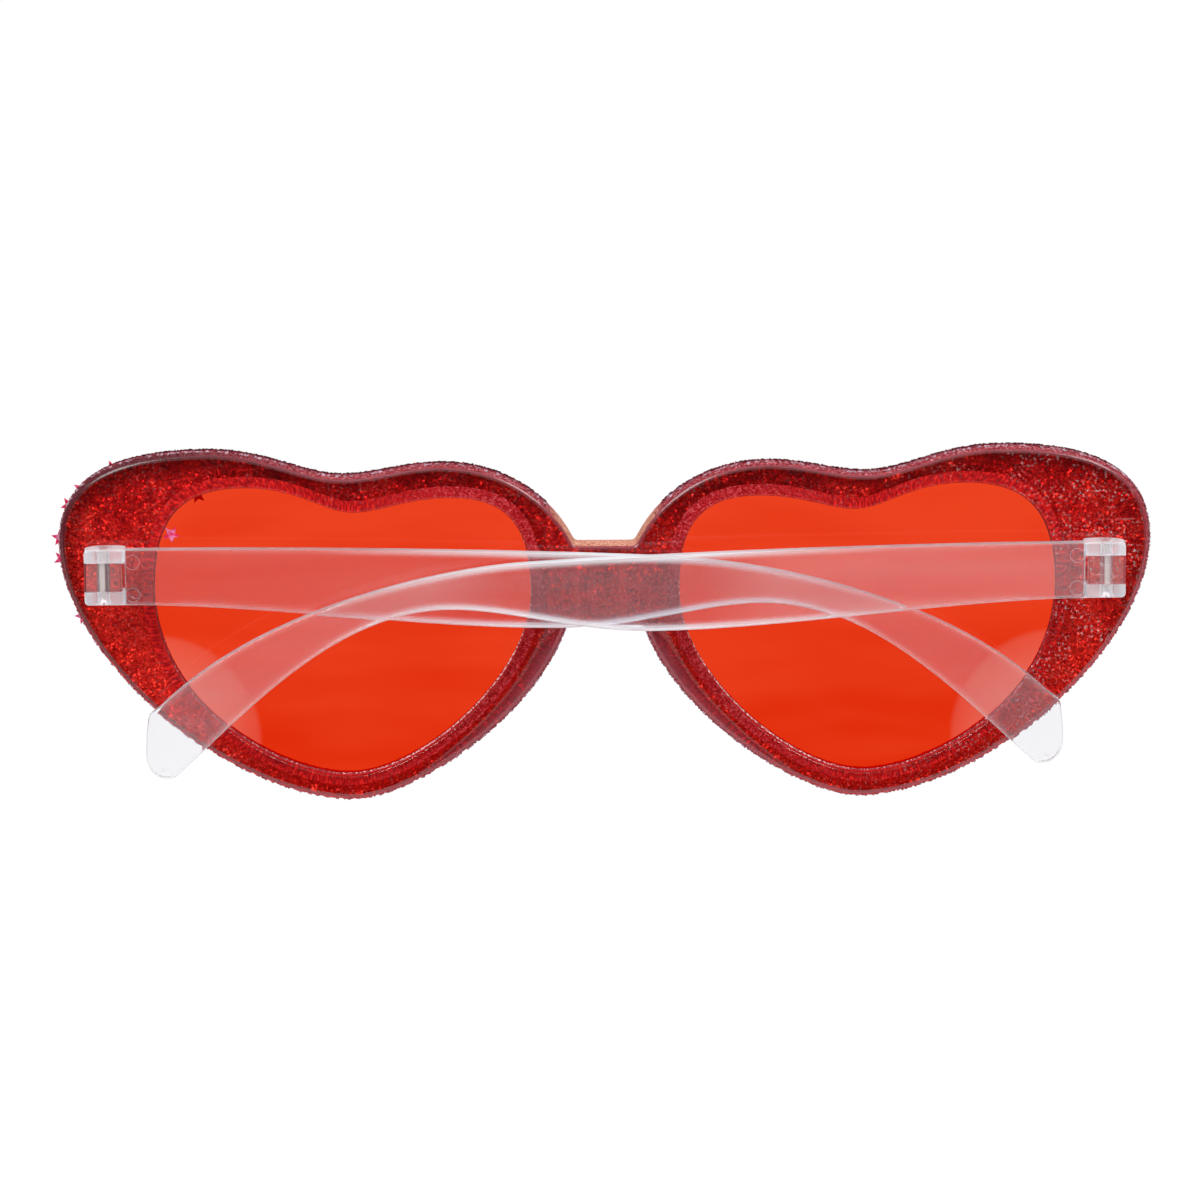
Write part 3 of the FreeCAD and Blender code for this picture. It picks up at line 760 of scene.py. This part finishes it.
def orange_lens():
    """Dyed acrylic sheet: a clear orange-red filter, a shade lighter at the top, with pale sawn edges and a
    painted pale reflection low at the outer corner.
    """
    material, tree = new_material("orange_dyed_acrylic")
    place, spot, sideways = whereabouts(tree)
    wave = add_node(tree, "ShaderNodeTexNoise", {"Vector": place, "Scale": 1 / LENS_WAVE, "Detail": 0.0})
    waves = add_node(tree, "ShaderNodeBump", {"Height": wave, "Strength": 0.3, "Distance": WAVE_DEPTH})
    height = add_node(
        tree, "ShaderNodeMapRange", {"Value": spot["Z"], "From Min": LENS_LOW, "From Max": LENS_HIGH}
    )
    slanted = add_node(
        tree,
        "ShaderNodeMapping",
        {"Vector": place, "Rotation": (0.0, 0.55, 0.0), "Scale": (0.25, 1.0, 1.0)},
    )
    streaks = add_node(
        tree, "ShaderNodeTexNoise", {"Vector": slanted, "Scale": 1 / LENS_STREAK, "Detail": 1.0}
    )
    lighter = add_node(
        tree,
        "ShaderNodeMapRange",
        {"Value": streaks, "From Min": 0.35, "From Max": 0.7, "To Min": -0.2, "To Max": 0.3},
    )
    shine = add_node(tree, "ShaderNodeMath", {0: height, 1: lighter}, operation="ADD")
    dye = add_node(tree, "ShaderNodeValToRGB", {"Fac": shine}, stops=LENS_DYE)
    # Painted reflection: a pale crescent and disc low at the outer corner of each lens.
    flat_spot = add_node(tree, "ShaderNodeCombineXYZ", {"X": sideways, "Y": spot["Z"]})
    from_sheen_centre = add_node(tree, "ShaderNodeVectorMath", {0: flat_spot, 1: SHEEN_CENTRE}, operation="DISTANCE")
    sheen_rim = add_node(
        tree,
        "ShaderNodeMapRange",
        {"Value": from_sheen_centre, "From Min": SHEEN_RADIUS, "From Max": 0.95 * SHEEN_RADIUS, "To Max": 0.08},
    )
    sheen_fill = add_node(
        tree,
        "ShaderNodeMapRange",
        {"Value": from_sheen_centre, "From Min": SHEEN_RADIUS, "From Max": 0.55 * SHEEN_RADIUS, "To Max": 0.16},
    )
    painted_sheen = add_node(tree, "ShaderNodeMath", {0: sheen_rim, 1: sheen_fill}, operation="ADD")
    dye_and_sheen = add_node(
        tree, "ShaderNodeMix", {"Factor": painted_sheen, "A": dye, "B": linear("#FFB8A4")}, data_type="RGBA"
    )
    edge = edge_share(tree)
    sawn = add_node(tree, "ShaderNodeValToRGB", {"Fac": height}, stops=LENS_SAWN)
    colour = add_node(tree, "ShaderNodeMix", {"Factor": edge, "A": dye_and_sheen, "B": sawn}, data_type="RGBA")
    clear = add_node(tree, "ShaderNodeMapRange", {"Value": edge, "To Min": 1.0, "To Max": 0.4})
    gloss = add_node(tree, "ShaderNodeMapRange", {"Value": edge, "To Min": 0.02, "To Max": 0.5})
    lens = add_node(
        tree,
        "ShaderNodeBsdfPrincipled",
        {
            "Base Color": colour,
            "Roughness": gloss,
            "IOR": ACRYLIC_IOR,
            "Transmission Weight": clear,
            "Specular Tint": LENS_COATING,
            "Normal": waves,
        },
    )
    let_lamps_through(tree, lens, linear("#F03E1A"))
    return material


def dress(node_name, material):
    """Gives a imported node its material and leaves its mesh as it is."""
    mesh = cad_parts[node_name].data
    mesh.materials.clear()
    mesh.materials.append(material)


lens_material = orange_lens()
dress("lens_left", lens_material)
dress("lens_right", lens_material)

# The cement that holds the lenses: a thin bead in the corner between each window and its lens.
# It dried grainy, with crumbs of pale resin and glitter, most of it along the lower edges.
BEAD_RADIUS = 0.17 * MM
BEAD_GRAIN = 0.3 * MM
BEAD_LUMPS = 0.1 * MM
BEAD_SIDES = 8
BEAD_LOW = -6 * MM
BEAD_TOP = 12 * MM
BEAD_NEAR = 26 * MM
BEAD_FAR = 38 * MM
LEVEL_GAP = 0.01 * MM
CEMENT_SHADES = [(0.42, "#7A1420"), (0.52, "#B4505A"), (0.62, "#F2DCDC")]


def dried_cement():
    """Dried cement: dark where it is clear and shows the red, whitish where it is full of crumbs."""
    material, tree = new_material("dried_cement")
    place, spot, sideways = whereabouts(tree)
    crumbs = add_node(tree, "ShaderNodeTexNoise", {"Vector": place, "Scale": 1 / BEAD_GRAIN, "Detail": 2.0})
    fewer = add_node(
        tree,
        "ShaderNodeMapRange",
        {"Value": spot["Z"], "From Min": BEAD_LOW, "From Max": BEAD_TOP, "To Min": 0.04, "To Max": -0.12},
    )
    away = add_node(
        tree,
        "ShaderNodeMapRange",
        {"Value": sideways, "From Min": BEAD_NEAR, "From Max": BEAD_FAR, "To Max": -0.1},
    )
    sown = add_node(tree, "ShaderNodeMath", {0: fewer, 1: away}, operation="ADD")
    level = add_node(tree, "ShaderNodeMath", {0: crumbs, 1: sown}, operation="ADD")
    shade = add_node(tree, "ShaderNodeValToRGB", {"Fac": level}, stops=CEMENT_SHADES)
    lumps = add_node(tree, "ShaderNodeBump", {"Height": crumbs, "Strength": 0.5, "Distance": BEAD_LUMPS})
    cement = add_node(
        tree, "ShaderNodeBsdfPrincipled", {"Base Color": shade, "Roughness": 0.45, "Normal": lumps}
    )
    add_node(tree, "ShaderNodeOutputMaterial", {"Surface": cement})
    return material


def bead_tree(material):
    """A round bead along the edges of a wire mesh."""
    tree, given = maker_tree("cement_bead", ("Radius",))
    line = add_node(tree, "GeometryNodeMeshToCurve", {"Mesh": given["Geometry"]})
    girth = {"Resolution": BEAD_SIDES, "Radius": given["Radius"]}
    ring = add_node(tree, "GeometryNodeCurvePrimitiveCircle", girth)
    bead = add_node(tree, "GeometryNodeCurveToMesh", {"Curve": line, "Profile Curve": ring})
    return close_tree(tree, bead, material)


def window_corners(mesh):
    """The two loops of edges where the windows' walls meet the grooves that hold the lenses."""
    skin = bmesh.new()
    skin.from_mesh(mesh)
    wire = bmesh.new()
    made = {}
    for edge in skin.edges:
        level = all(abs(corner.co.y - GROOVE_START) < LEVEL_GAP for corner in edge.verts)
        wall = any(
            abs(face.normal.y) < STEEP and min(c.co.y for c in face.verts) < GROOVE_START - LEVEL_GAP
            for face in edge.link_faces
        )
        floor = any(face.normal.y > FLAT for face in edge.link_faces)
        if level and wall and floor:
            for corner in edge.verts:
                if corner.index not in made:
                    made[corner.index] = wire.verts.new(corner.co)
            wire.edges.new([made[corner.index] for corner in edge.verts])
    loops = bpy.data.meshes.new("window_corners")
    wire.to_mesh(loops)
    wire.free()
    skin.free()
    return loops


cement_bead = bead_tree(dried_cement())
bead_mesh = made_by(cement_bead, window_corners(front.data), "lens_cement", Radius=BEAD_RADIUS)
seated("lens_cement", bead_mesh, "front")

# The temples: flat clear acrylic arms, a little milky from the mould, forked and bored at the hinge.
# Their edges carry painted white highlight lines and painted grey shade; ejector pins left rings near the
# fork.
FLOW = 6 * MM
SATIN_GRAIN = 0.4 * MM
SATIN_DEPTH = 0.02 * MM
HAZE_HALF = 55 * MM
VEIL_SHADE_NEAR = 14 * MM
VEIL_SHADE_FAR = 24 * MM
PAINTED_GLOW_NEAR = 12 * MM
PAINTED_GLOW_FAR = 40 * MM
TOP_HIGHLIGHT_NEAR = 16 * MM
TOP_HIGHLIGHT_FAR = 34 * MM
SIDE_HIGHLIGHT = 0.65
FORK_HEIGHT = 8.15 * MM
FORK_GAP = 2.0 * MM
FORK_ROOT = 66.8 * MM
FORK_FADE = 0.3 * MM
EDGE_SHADE_FADE = 2 * MM
PIN_INSET = 69.8 * MM
PIN_CORE = 0.7 * MM
PIN_EDGE = 1.1 * MM
RIM_BAND = 0.8 * MM
RIM_END = 62 * MM
RING_RADIUS = 1.0 * MM
RING_WIRE = 0.035 * MM
RING_STEPS = 32
WIRE_STEPS = 6
RING_INSET = 65.7 * MM
RING_LOW = 5.7 * MM
RING_HIGH = 10.3 * MM
BEHIND_ARMS = -20 * MM


def milky_acrylic(name, left_haze, right_haze):
    """Clear acrylic from a satin mould: it passes most light and scatters the rest as a pale veil, with
    painted white highlights on the edges and prongs, painted grey shade on the edges, and painted shade on
    the veil near the middle.
    """
    material, tree = new_material(name)
    place, spot, sideways = whereabouts(tree)
    drawn = add_node(tree, "ShaderNodeMapping", {"Vector": place, "Scale": (0.12, 1.0, 1.6)})
    flow = add_node(tree, "ShaderNodeTexNoise", {"Vector": drawn, "Scale": 1 / FLOW, "Detail": 4.0})
    veil = add_node(
        tree,
        "ShaderNodeMapRange",
        {"Value": flow, "From Min": 0.3, "From Max": 0.7, "To Min": 0.75, "To Max": 1.25},
    )
    # Painted shade: the veil is halved near the middle, over the bridge, where less light comes through
    # from behind.
    painted_veil_shade = add_node(
        tree,
        "ShaderNodeMapRange",
        {"Value": sideways, "From Min": VEIL_SHADE_NEAR, "From Max": VEIL_SHADE_FAR, "To Min": 0.5},
    )
    haze = add_node(
        tree,
        "ShaderNodeMapRange",
        {
            "Value": spot["X"],
            "From Min": -HAZE_HALF,
            "From Max": HAZE_HALF,
            "To Min": left_haze,
            "To Max": right_haze,
        },
    )
    patchy = add_node(tree, "ShaderNodeMath", {0: veil, 1: haze}, operation="MULTIPLY")
    flowed = add_node(tree, "ShaderNodeMath", {0: patchy, 1: painted_veil_shade}, operation="MULTIPLY")
    # Painted highlight: the prongs of the fork are made milky white, as light turns back in their round
    # ends, and the pin's middle stays clearer.
    above = add_node(tree, "ShaderNodeMath", {0: spot["Z"], 1: FORK_HEIGHT}, operation="SUBTRACT")
    off_middle = add_node(tree, "ShaderNodeMath", {0: above}, operation="ABSOLUTE")
    prong = add_node(tree, "ShaderNodeMath", {0: off_middle, 1: FORK_GAP}, operation="GREATER_THAN")
    at_fork = add_node(
        tree,
        "ShaderNodeMapRange",
        {"Value": sideways, "From Min": FORK_ROOT, "From Max": FORK_ROOT + FORK_FADE, "To Max": 0.3},
    )
    fork = add_node(tree, "ShaderNodeMath", {0: prong, 1: at_fork}, operation="MULTIPLY")
    beside = add_node(tree, "ShaderNodeMath", {0: sideways, 1: PIN_INSET}, operation="SUBTRACT")
    off_pin = add_node(tree, "ShaderNodeMath", {0: beside}, operation="ABSOLUTE")
    round_pin = add_node(
        tree,
        "ShaderNodeMapRange",
        {"Value": off_pin, "From Min": PIN_CORE, "From Max": PIN_EDGE, "To Min": 0.25},
    )
    fork_highlight = add_node(tree, "ShaderNodeMath", {0: fork, 1: round_pin}, operation="MULTIPLY")
    # Painted highlight: the edges are made milky white, along the top more than the sides and most near the
    # bridge, and the rim band glows near the bridge.
    edge = edge_share(tree)
    facing = add_node(tree, "ShaderNodeTexCoord").outputs["Normal"]
    upward = add_node(tree, "ShaderNodeSeparateXYZ", {0: facing}).outputs["Z"]
    on_top = add_node(tree, "ShaderNodeMapRange", {"Value": upward, "From Min": 0.0, "From Max": 0.5})
    top_highlight = add_node(
        tree,
        "ShaderNodeMapRange",
        {"Value": sideways, "From Min": TOP_HIGHLIGHT_FAR, "From Max": TOP_HIGHLIGHT_NEAR, "To Min": 0.2},
    )
    line = add_node(tree, "ShaderNodeMix", {"Factor": on_top, "A": SIDE_HIGHLIGHT, "B": top_highlight})
    white = add_node(tree, "ShaderNodeMath", {0: edge, 1: line}, operation="MULTIPLY")
    rim = add_node(tree, "ShaderNodeAttribute", attribute_name="rim").outputs["Fac"]
    fade = add_node(tree, "ShaderNodeMath", {0: rim, 1: 2.0}, operation="POWER")
    painted_glow = add_node(
        tree,
        "ShaderNodeMapRange",
        {"Value": sideways, "From Min": PAINTED_GLOW_FAR, "From Max": PAINTED_GLOW_NEAR, "To Min": 0.05, "To Max": 0.5},
    )
    soft = add_node(tree, "ShaderNodeMath", {0: fade, 1: painted_glow}, operation="MULTIPLY")
    highlighted = add_node(tree, "ShaderNodeMath", {0: white, 1: soft}, operation="MAXIMUM")
    haze_and_sheen = add_node(tree, "ShaderNodeMath", {0: flowed, 1: highlighted}, operation="ADD")
    milk_and_sheen = add_node(tree, "ShaderNodeMath", {0: haze_and_sheen, 1: fork_highlight}, operation="ADD")
    clear = add_node(tree, "ShaderNodeMath", {0: 1.0, 1: milk_and_sheen}, operation="SUBTRACT", use_clamp=True)
    grain = add_node(tree, "ShaderNodeTexNoise", {"Vector": place, "Scale": 1 / SATIN_GRAIN, "Detail": 2.0})
    satin = add_node(tree, "ShaderNodeBump", {"Height": grain, "Strength": 0.08, "Distance": SATIN_DEPTH})
    gloss = add_node(tree, "ShaderNodeMapRange", {"Value": edge, "To Min": 0.05, "To Max": 0.35})
    # Painted shade: the edges away from the fork are tinted grey, so that they show as darker outlines.
    off_fork = add_node(
        tree,
        "ShaderNodeMapRange",
        {"Value": sideways, "From Min": FORK_ROOT, "From Max": FORK_ROOT - EDGE_SHADE_FADE},
    )
    painted_edge_shade = add_node(tree, "ShaderNodeMath", {0: edge, 1: off_fork}, operation="MULTIPLY")
    colour = add_node(
        tree,
        "ShaderNodeMix",
        {"Factor": painted_edge_shade, "A": linear("#F8F7FA"), "B": linear("#D6D8DE")},
        data_type="RGBA",
    )
    plastic = add_node(
        tree,
        "ShaderNodeBsdfPrincipled",
        {
            "Base Color": colour,
            "Roughness": gloss,
            "IOR": ACRYLIC_IOR,
            "Transmission Weight": clear,
            "Normal": satin,
        },
    )
    let_lamps_through(tree, plastic, linear("#EDEDF0"))
    return material


def band_rims(mesh):
    """Cuts a narrow band along the edge of the broad faces; the mark "rim" fades across it and carries a
    painted highlight.
    """
    skin = bmesh.new()
    skin.from_mesh(mesh)
    rim = skin.verts.layers.float.new("rim")
    broad = [face for face in skin.faces if abs(face.normal.y) > FLAT]
    cut = bmesh.ops.inset_region(
        skin, faces=broad, thickness=RIM_BAND, use_even_offset=True, use_boundary=True
    )
    inner = {vertex for face in broad for vertex in face.verts}
    for vertex in skin.verts:
        vertex[rim] = 0.0 if vertex in inner or abs(vertex.co.x) > RIM_END else 1.0
    for edge in {edge for face in cut["faces"] for edge in face.edges}:
        within = [vertex for vertex in edge.verts if vertex in inner]
        without = [vertex for vertex in edge.verts if vertex not in inner]
        if within and without and abs(without[0].co.x) > RIM_END:
            within[0].co = without[0].co
    bmesh.ops.remove_doubles(skin, verts=skin.verts, dist=MERGE)
    skin.to_mesh(mesh)
    skin.free()
    soften_edges(mesh)


def ejector_rings(mesh, side, piece_name, material):
    """Two thin raised rings on the side of an arm that shows when it is folded."""
    surface = BVHTree.FromPolygons([v.co for v in mesh.vertices], [f.vertices for f in mesh.polygons])
    points = []
    faces = []
    for height in (RING_LOW, RING_HIGH):
        spot, *_ = surface.ray_cast(Vector((side * RING_INSET, BEHIND_ARMS, height)), Vector((0, 1, 0)))
        first = len(points)
        for i in range(RING_STEPS):
            turn = math.tau * i / RING_STEPS
            for j in range(WIRE_STEPS):
                lean = math.tau * j / WIRE_STEPS
                reach = RING_RADIUS + RING_WIRE * math.cos(lean)
                raised = RING_WIRE * math.sin(lean)
                points.append(spot + Vector((reach * math.cos(turn), raised, reach * math.sin(turn))))
                here = first + i * WIRE_STEPS
                onward = first + (i + 1) % RING_STEPS * WIRE_STEPS
                k = (j + 1) % WIRE_STEPS
                faces.append((here + j, here + k, onward + k, onward + j))
    rings = bpy.data.meshes.new(piece_name)
    rings.from_pydata(points, [], faces)
    skin = bmesh.new()
    skin.from_mesh(rings)
    bmesh.ops.recalc_face_normals(skin, faces=skin.faces)
    skin.to_mesh(rings)
    skin.free()
    rings.materials.append(material)
    return rings


for side, name, body, left_haze, right_haze in (
    (-1, "left", "left_arm", 0.026, 0.046),
    (1, "right", "right_arm", 0.05, 0.07),
):
    material = milky_acrylic("milky_acrylic_" + name, left_haze, right_haze)
    arm = polished("temple_" + name, "arm_" + name, material, body)
    band_rims(arm.data)
    rings_name = "ejector_rings_" + name
    seated(rings_name, ejector_rings(arm.data, side, rings_name, material), body)

# The hinge screws: small nickel plated steel screws, turned on a lathe, countersunk and slotted.
# Each goes up from below through the fork of a temple and the lug of the front between its prongs.
TURNING = 1.2 * MM
TURNING_DEPTH = 0.03 * MM


def plated_steel():
    """Nickel plate over turned steel: pale grey metal, with turning rings drawn coarse enough to show."""
    material, tree = new_material("nickel_plated_steel")
    place = add_node(tree, "ShaderNodeTexCoord").outputs["Object"]
    rings = add_node(
        tree,
        "ShaderNodeTexWave",
        {"Vector": place, "Scale": 1 / TURNING, "Distortion": 1.0},
        bands_direction="Z",
    )
    turned = add_node(
        tree, "ShaderNodeBump", {"Height": rings.outputs["Fac"], "Strength": 0.3, "Distance": TURNING_DEPTH}
    )
    steel = add_node(
        tree,
        "ShaderNodeBsdfPrincipled",
        {"Base Color": linear("#EFE6E2"), "Metallic": 0.5, "Roughness": 0.45, "Normal": turned},
    )
    add_node(tree, "ShaderNodeOutputMaterial", {"Surface": steel})
    return material


screw_material = plated_steel()
dress("hinge_screw_left", screw_material)
dress("hinge_screw_right", screw_material)

# The studio: a white paper sweep that starts under the glasses and runs back, in a white surround.
# What shines shows the room instead: white paper behind and above, and dim round the camera.
FLOOR_DROP = 0.12
FLOOR_FRONT = 0.2
FLOOR_BACK = 6.0
FLOOR_HALF_WIDTH = 4.0
PAPER_GLOW = 0.95
PAPER_WHITE = 1.04
PLAIN_LEVEL = 0.55
ROOM_LOW = 0.03
ROOM_HIGH = 0.8


def ray_history(tree):
    """1 for rays that show a thing straight or through something clear, and 1 for mirrored ones."""
    path = add_node(tree, "ShaderNodeLightPath").outputs
    through = add_node(
        tree,
        "ShaderNodeMath",
        {0: path["Is Camera Ray"], 1: path["Is Transmission Ray"]},
        operation="MAXIMUM",
    )
    bounced = add_node(
        tree, "ShaderNodeMath", {0: path["Glossy Depth"], 1: path["Diffuse Depth"]}, operation="ADD"
    )
    straight = add_node(tree, "ShaderNodeMath", {0: bounced, 1: 0.5}, operation="LESS_THAN")
    seen = add_node(tree, "ShaderNodeMath", {0: through, 1: straight}, operation="MULTIPLY")
    undiffused = add_node(tree, "ShaderNodeMath", {0: path["Diffuse Depth"], 1: 0.5}, operation="LESS_THAN")
    glossed = add_node(tree, "ShaderNodeMath", {0: path["Glossy Depth"], 1: 0.5}, operation="GREATER_THAN")
    mirrored = add_node(tree, "ShaderNodeMath", {0: undiffused, 1: glossed}, operation="MULTIPLY")
    return seen, mirrored


floor_mesh = bpy.data.meshes.new("floor")
level = cad_box[0][2] - FLOOR_DROP
corners = [
    (-FLOOR_HALF_WIDTH, -FLOOR_FRONT, level),
    (FLOOR_HALF_WIDTH, -FLOOR_FRONT, level),
    (FLOOR_HALF_WIDTH, FLOOR_BACK, level),
    (-FLOOR_HALF_WIDTH, FLOOR_BACK, level),
]
floor_mesh.from_pydata(corners, [], [(0, 1, 2, 3)])
floor = new_piece("floor", floor_mesh)
floor_material, floor_tree = new_material("white_paper")
paper = add_node(floor_tree, "ShaderNodeBsdfDiffuse", {"Color": linear("#F4F4F4")})
white = add_node(floor_tree, "ShaderNodeEmission", {"Color": (1, 1, 1, 1), "Strength": PAPER_WHITE})
seen, _ = ray_history(floor_tree)
share = add_node(floor_tree, "ShaderNodeMath", {0: seen, 1: PAPER_GLOW}, operation="MULTIPLY")
blend = add_node(floor_tree, "ShaderNodeMixShader", {0: share, 1: paper, 2: white})
add_node(floor_tree, "ShaderNodeOutputMaterial", {"Surface": blend})
floor_mesh.materials.append(floor_material)

world = bpy.data.worlds.new("studio")
bpy.context.scene.world = world
world.use_nodes = True
sky = world.node_tree
sky.nodes.clear()
way = add_node(sky, "ShaderNodeTexCoord").outputs["Generated"]
heading = add_node(sky, "ShaderNodeSeparateXYZ", {0: way}).outputs
overhead = add_node(
    sky,
    "ShaderNodeMapRange",
    {"Value": heading["Z"], "From Min": 0.1, "From Max": 0.8, "To Min": ROOM_LOW, "To Max": ROOM_HIGH},
)
behind = add_node(sky, "ShaderNodeMapRange", {"Value": heading["Y"], "From Min": 0.0, "From Max": 0.4})
room = add_node(sky, "ShaderNodeMath", {0: overhead, 1: behind}, operation="MAXIMUM")
seen, mirrored = ray_history(sky)
unseen = add_node(sky, "ShaderNodeMix", {"Factor": mirrored, "A": PLAIN_LEVEL, "B": room})
strength = add_node(sky, "ShaderNodeMix", {"Factor": seen, "A": unseen, "B": 1.0})
surround = add_node(sky, "ShaderNodeBackground", {"Color": (1, 1, 1, 1), "Strength": strength})
add_node(sky, "ShaderNodeOutputWorld", {"Surface": surround})


def aim(thing, place, target):
    """Puts a lamp or the camera in its place and turns it to the target."""
    thing.location = place
    thing.rotation_euler = (Vector(target) - Vector(place)).to_track_quat("-Z", "Y").to_euler()


for lamp_name, place, width, power in (
    ("softbox_left", (-0.45, -0.55, 0.6), 0.4, 3.5),
    ("softbox_right", (0.5, -0.35, 0.7), 0.35, 3.0),
    ("softbox_top", (0.0, 0.35, 0.8), 0.5, 2.0),
):
    data = bpy.data.lights.new(lamp_name, "AREA")
    data.size = width
    data.energy = power
    lamp = bpy.data.objects.new(lamp_name, data)
    bpy.context.scene.collection.objects.link(lamp)
    aim(lamp, place, (0, 0, 0))

# The camera: behind the glasses, on the wearer's side, a little above them, with a long lens far off.
# It is rolled by half a degree, because the glasses lie slightly askew in the photograph.
SENSOR = 36.0
VIEW_WIDTH = 168 * MM
DISTANCE = 0.75
NEAR_CLIP = 0.01
ELEVATION = math.radians(10.5)
ROLL = math.radians(0.45)
VIEW_MIDDLE = Vector((-0.7 * MM, 0, 3.7 * MM))
camera_data = bpy.data.cameras.new("camera")
camera_data.sensor_width = SENSOR
camera_data.lens = SENSOR * DISTANCE / VIEW_WIDTH
camera_data.clip_start = NEAR_CLIP
camera = bpy.data.objects.new("camera", camera_data)
bpy.context.scene.collection.objects.link(camera)
away = DISTANCE * Vector((0, -math.cos(ELEVATION), math.sin(ELEVATION)))
aim(camera, VIEW_MIDDLE + away, VIEW_MIDDLE)
camera.rotation_euler.rotate_axis("Z", -ROLL)
bpy.context.scene.camera = camera
bpy.context.scene.view_settings.view_transform = "Standard"
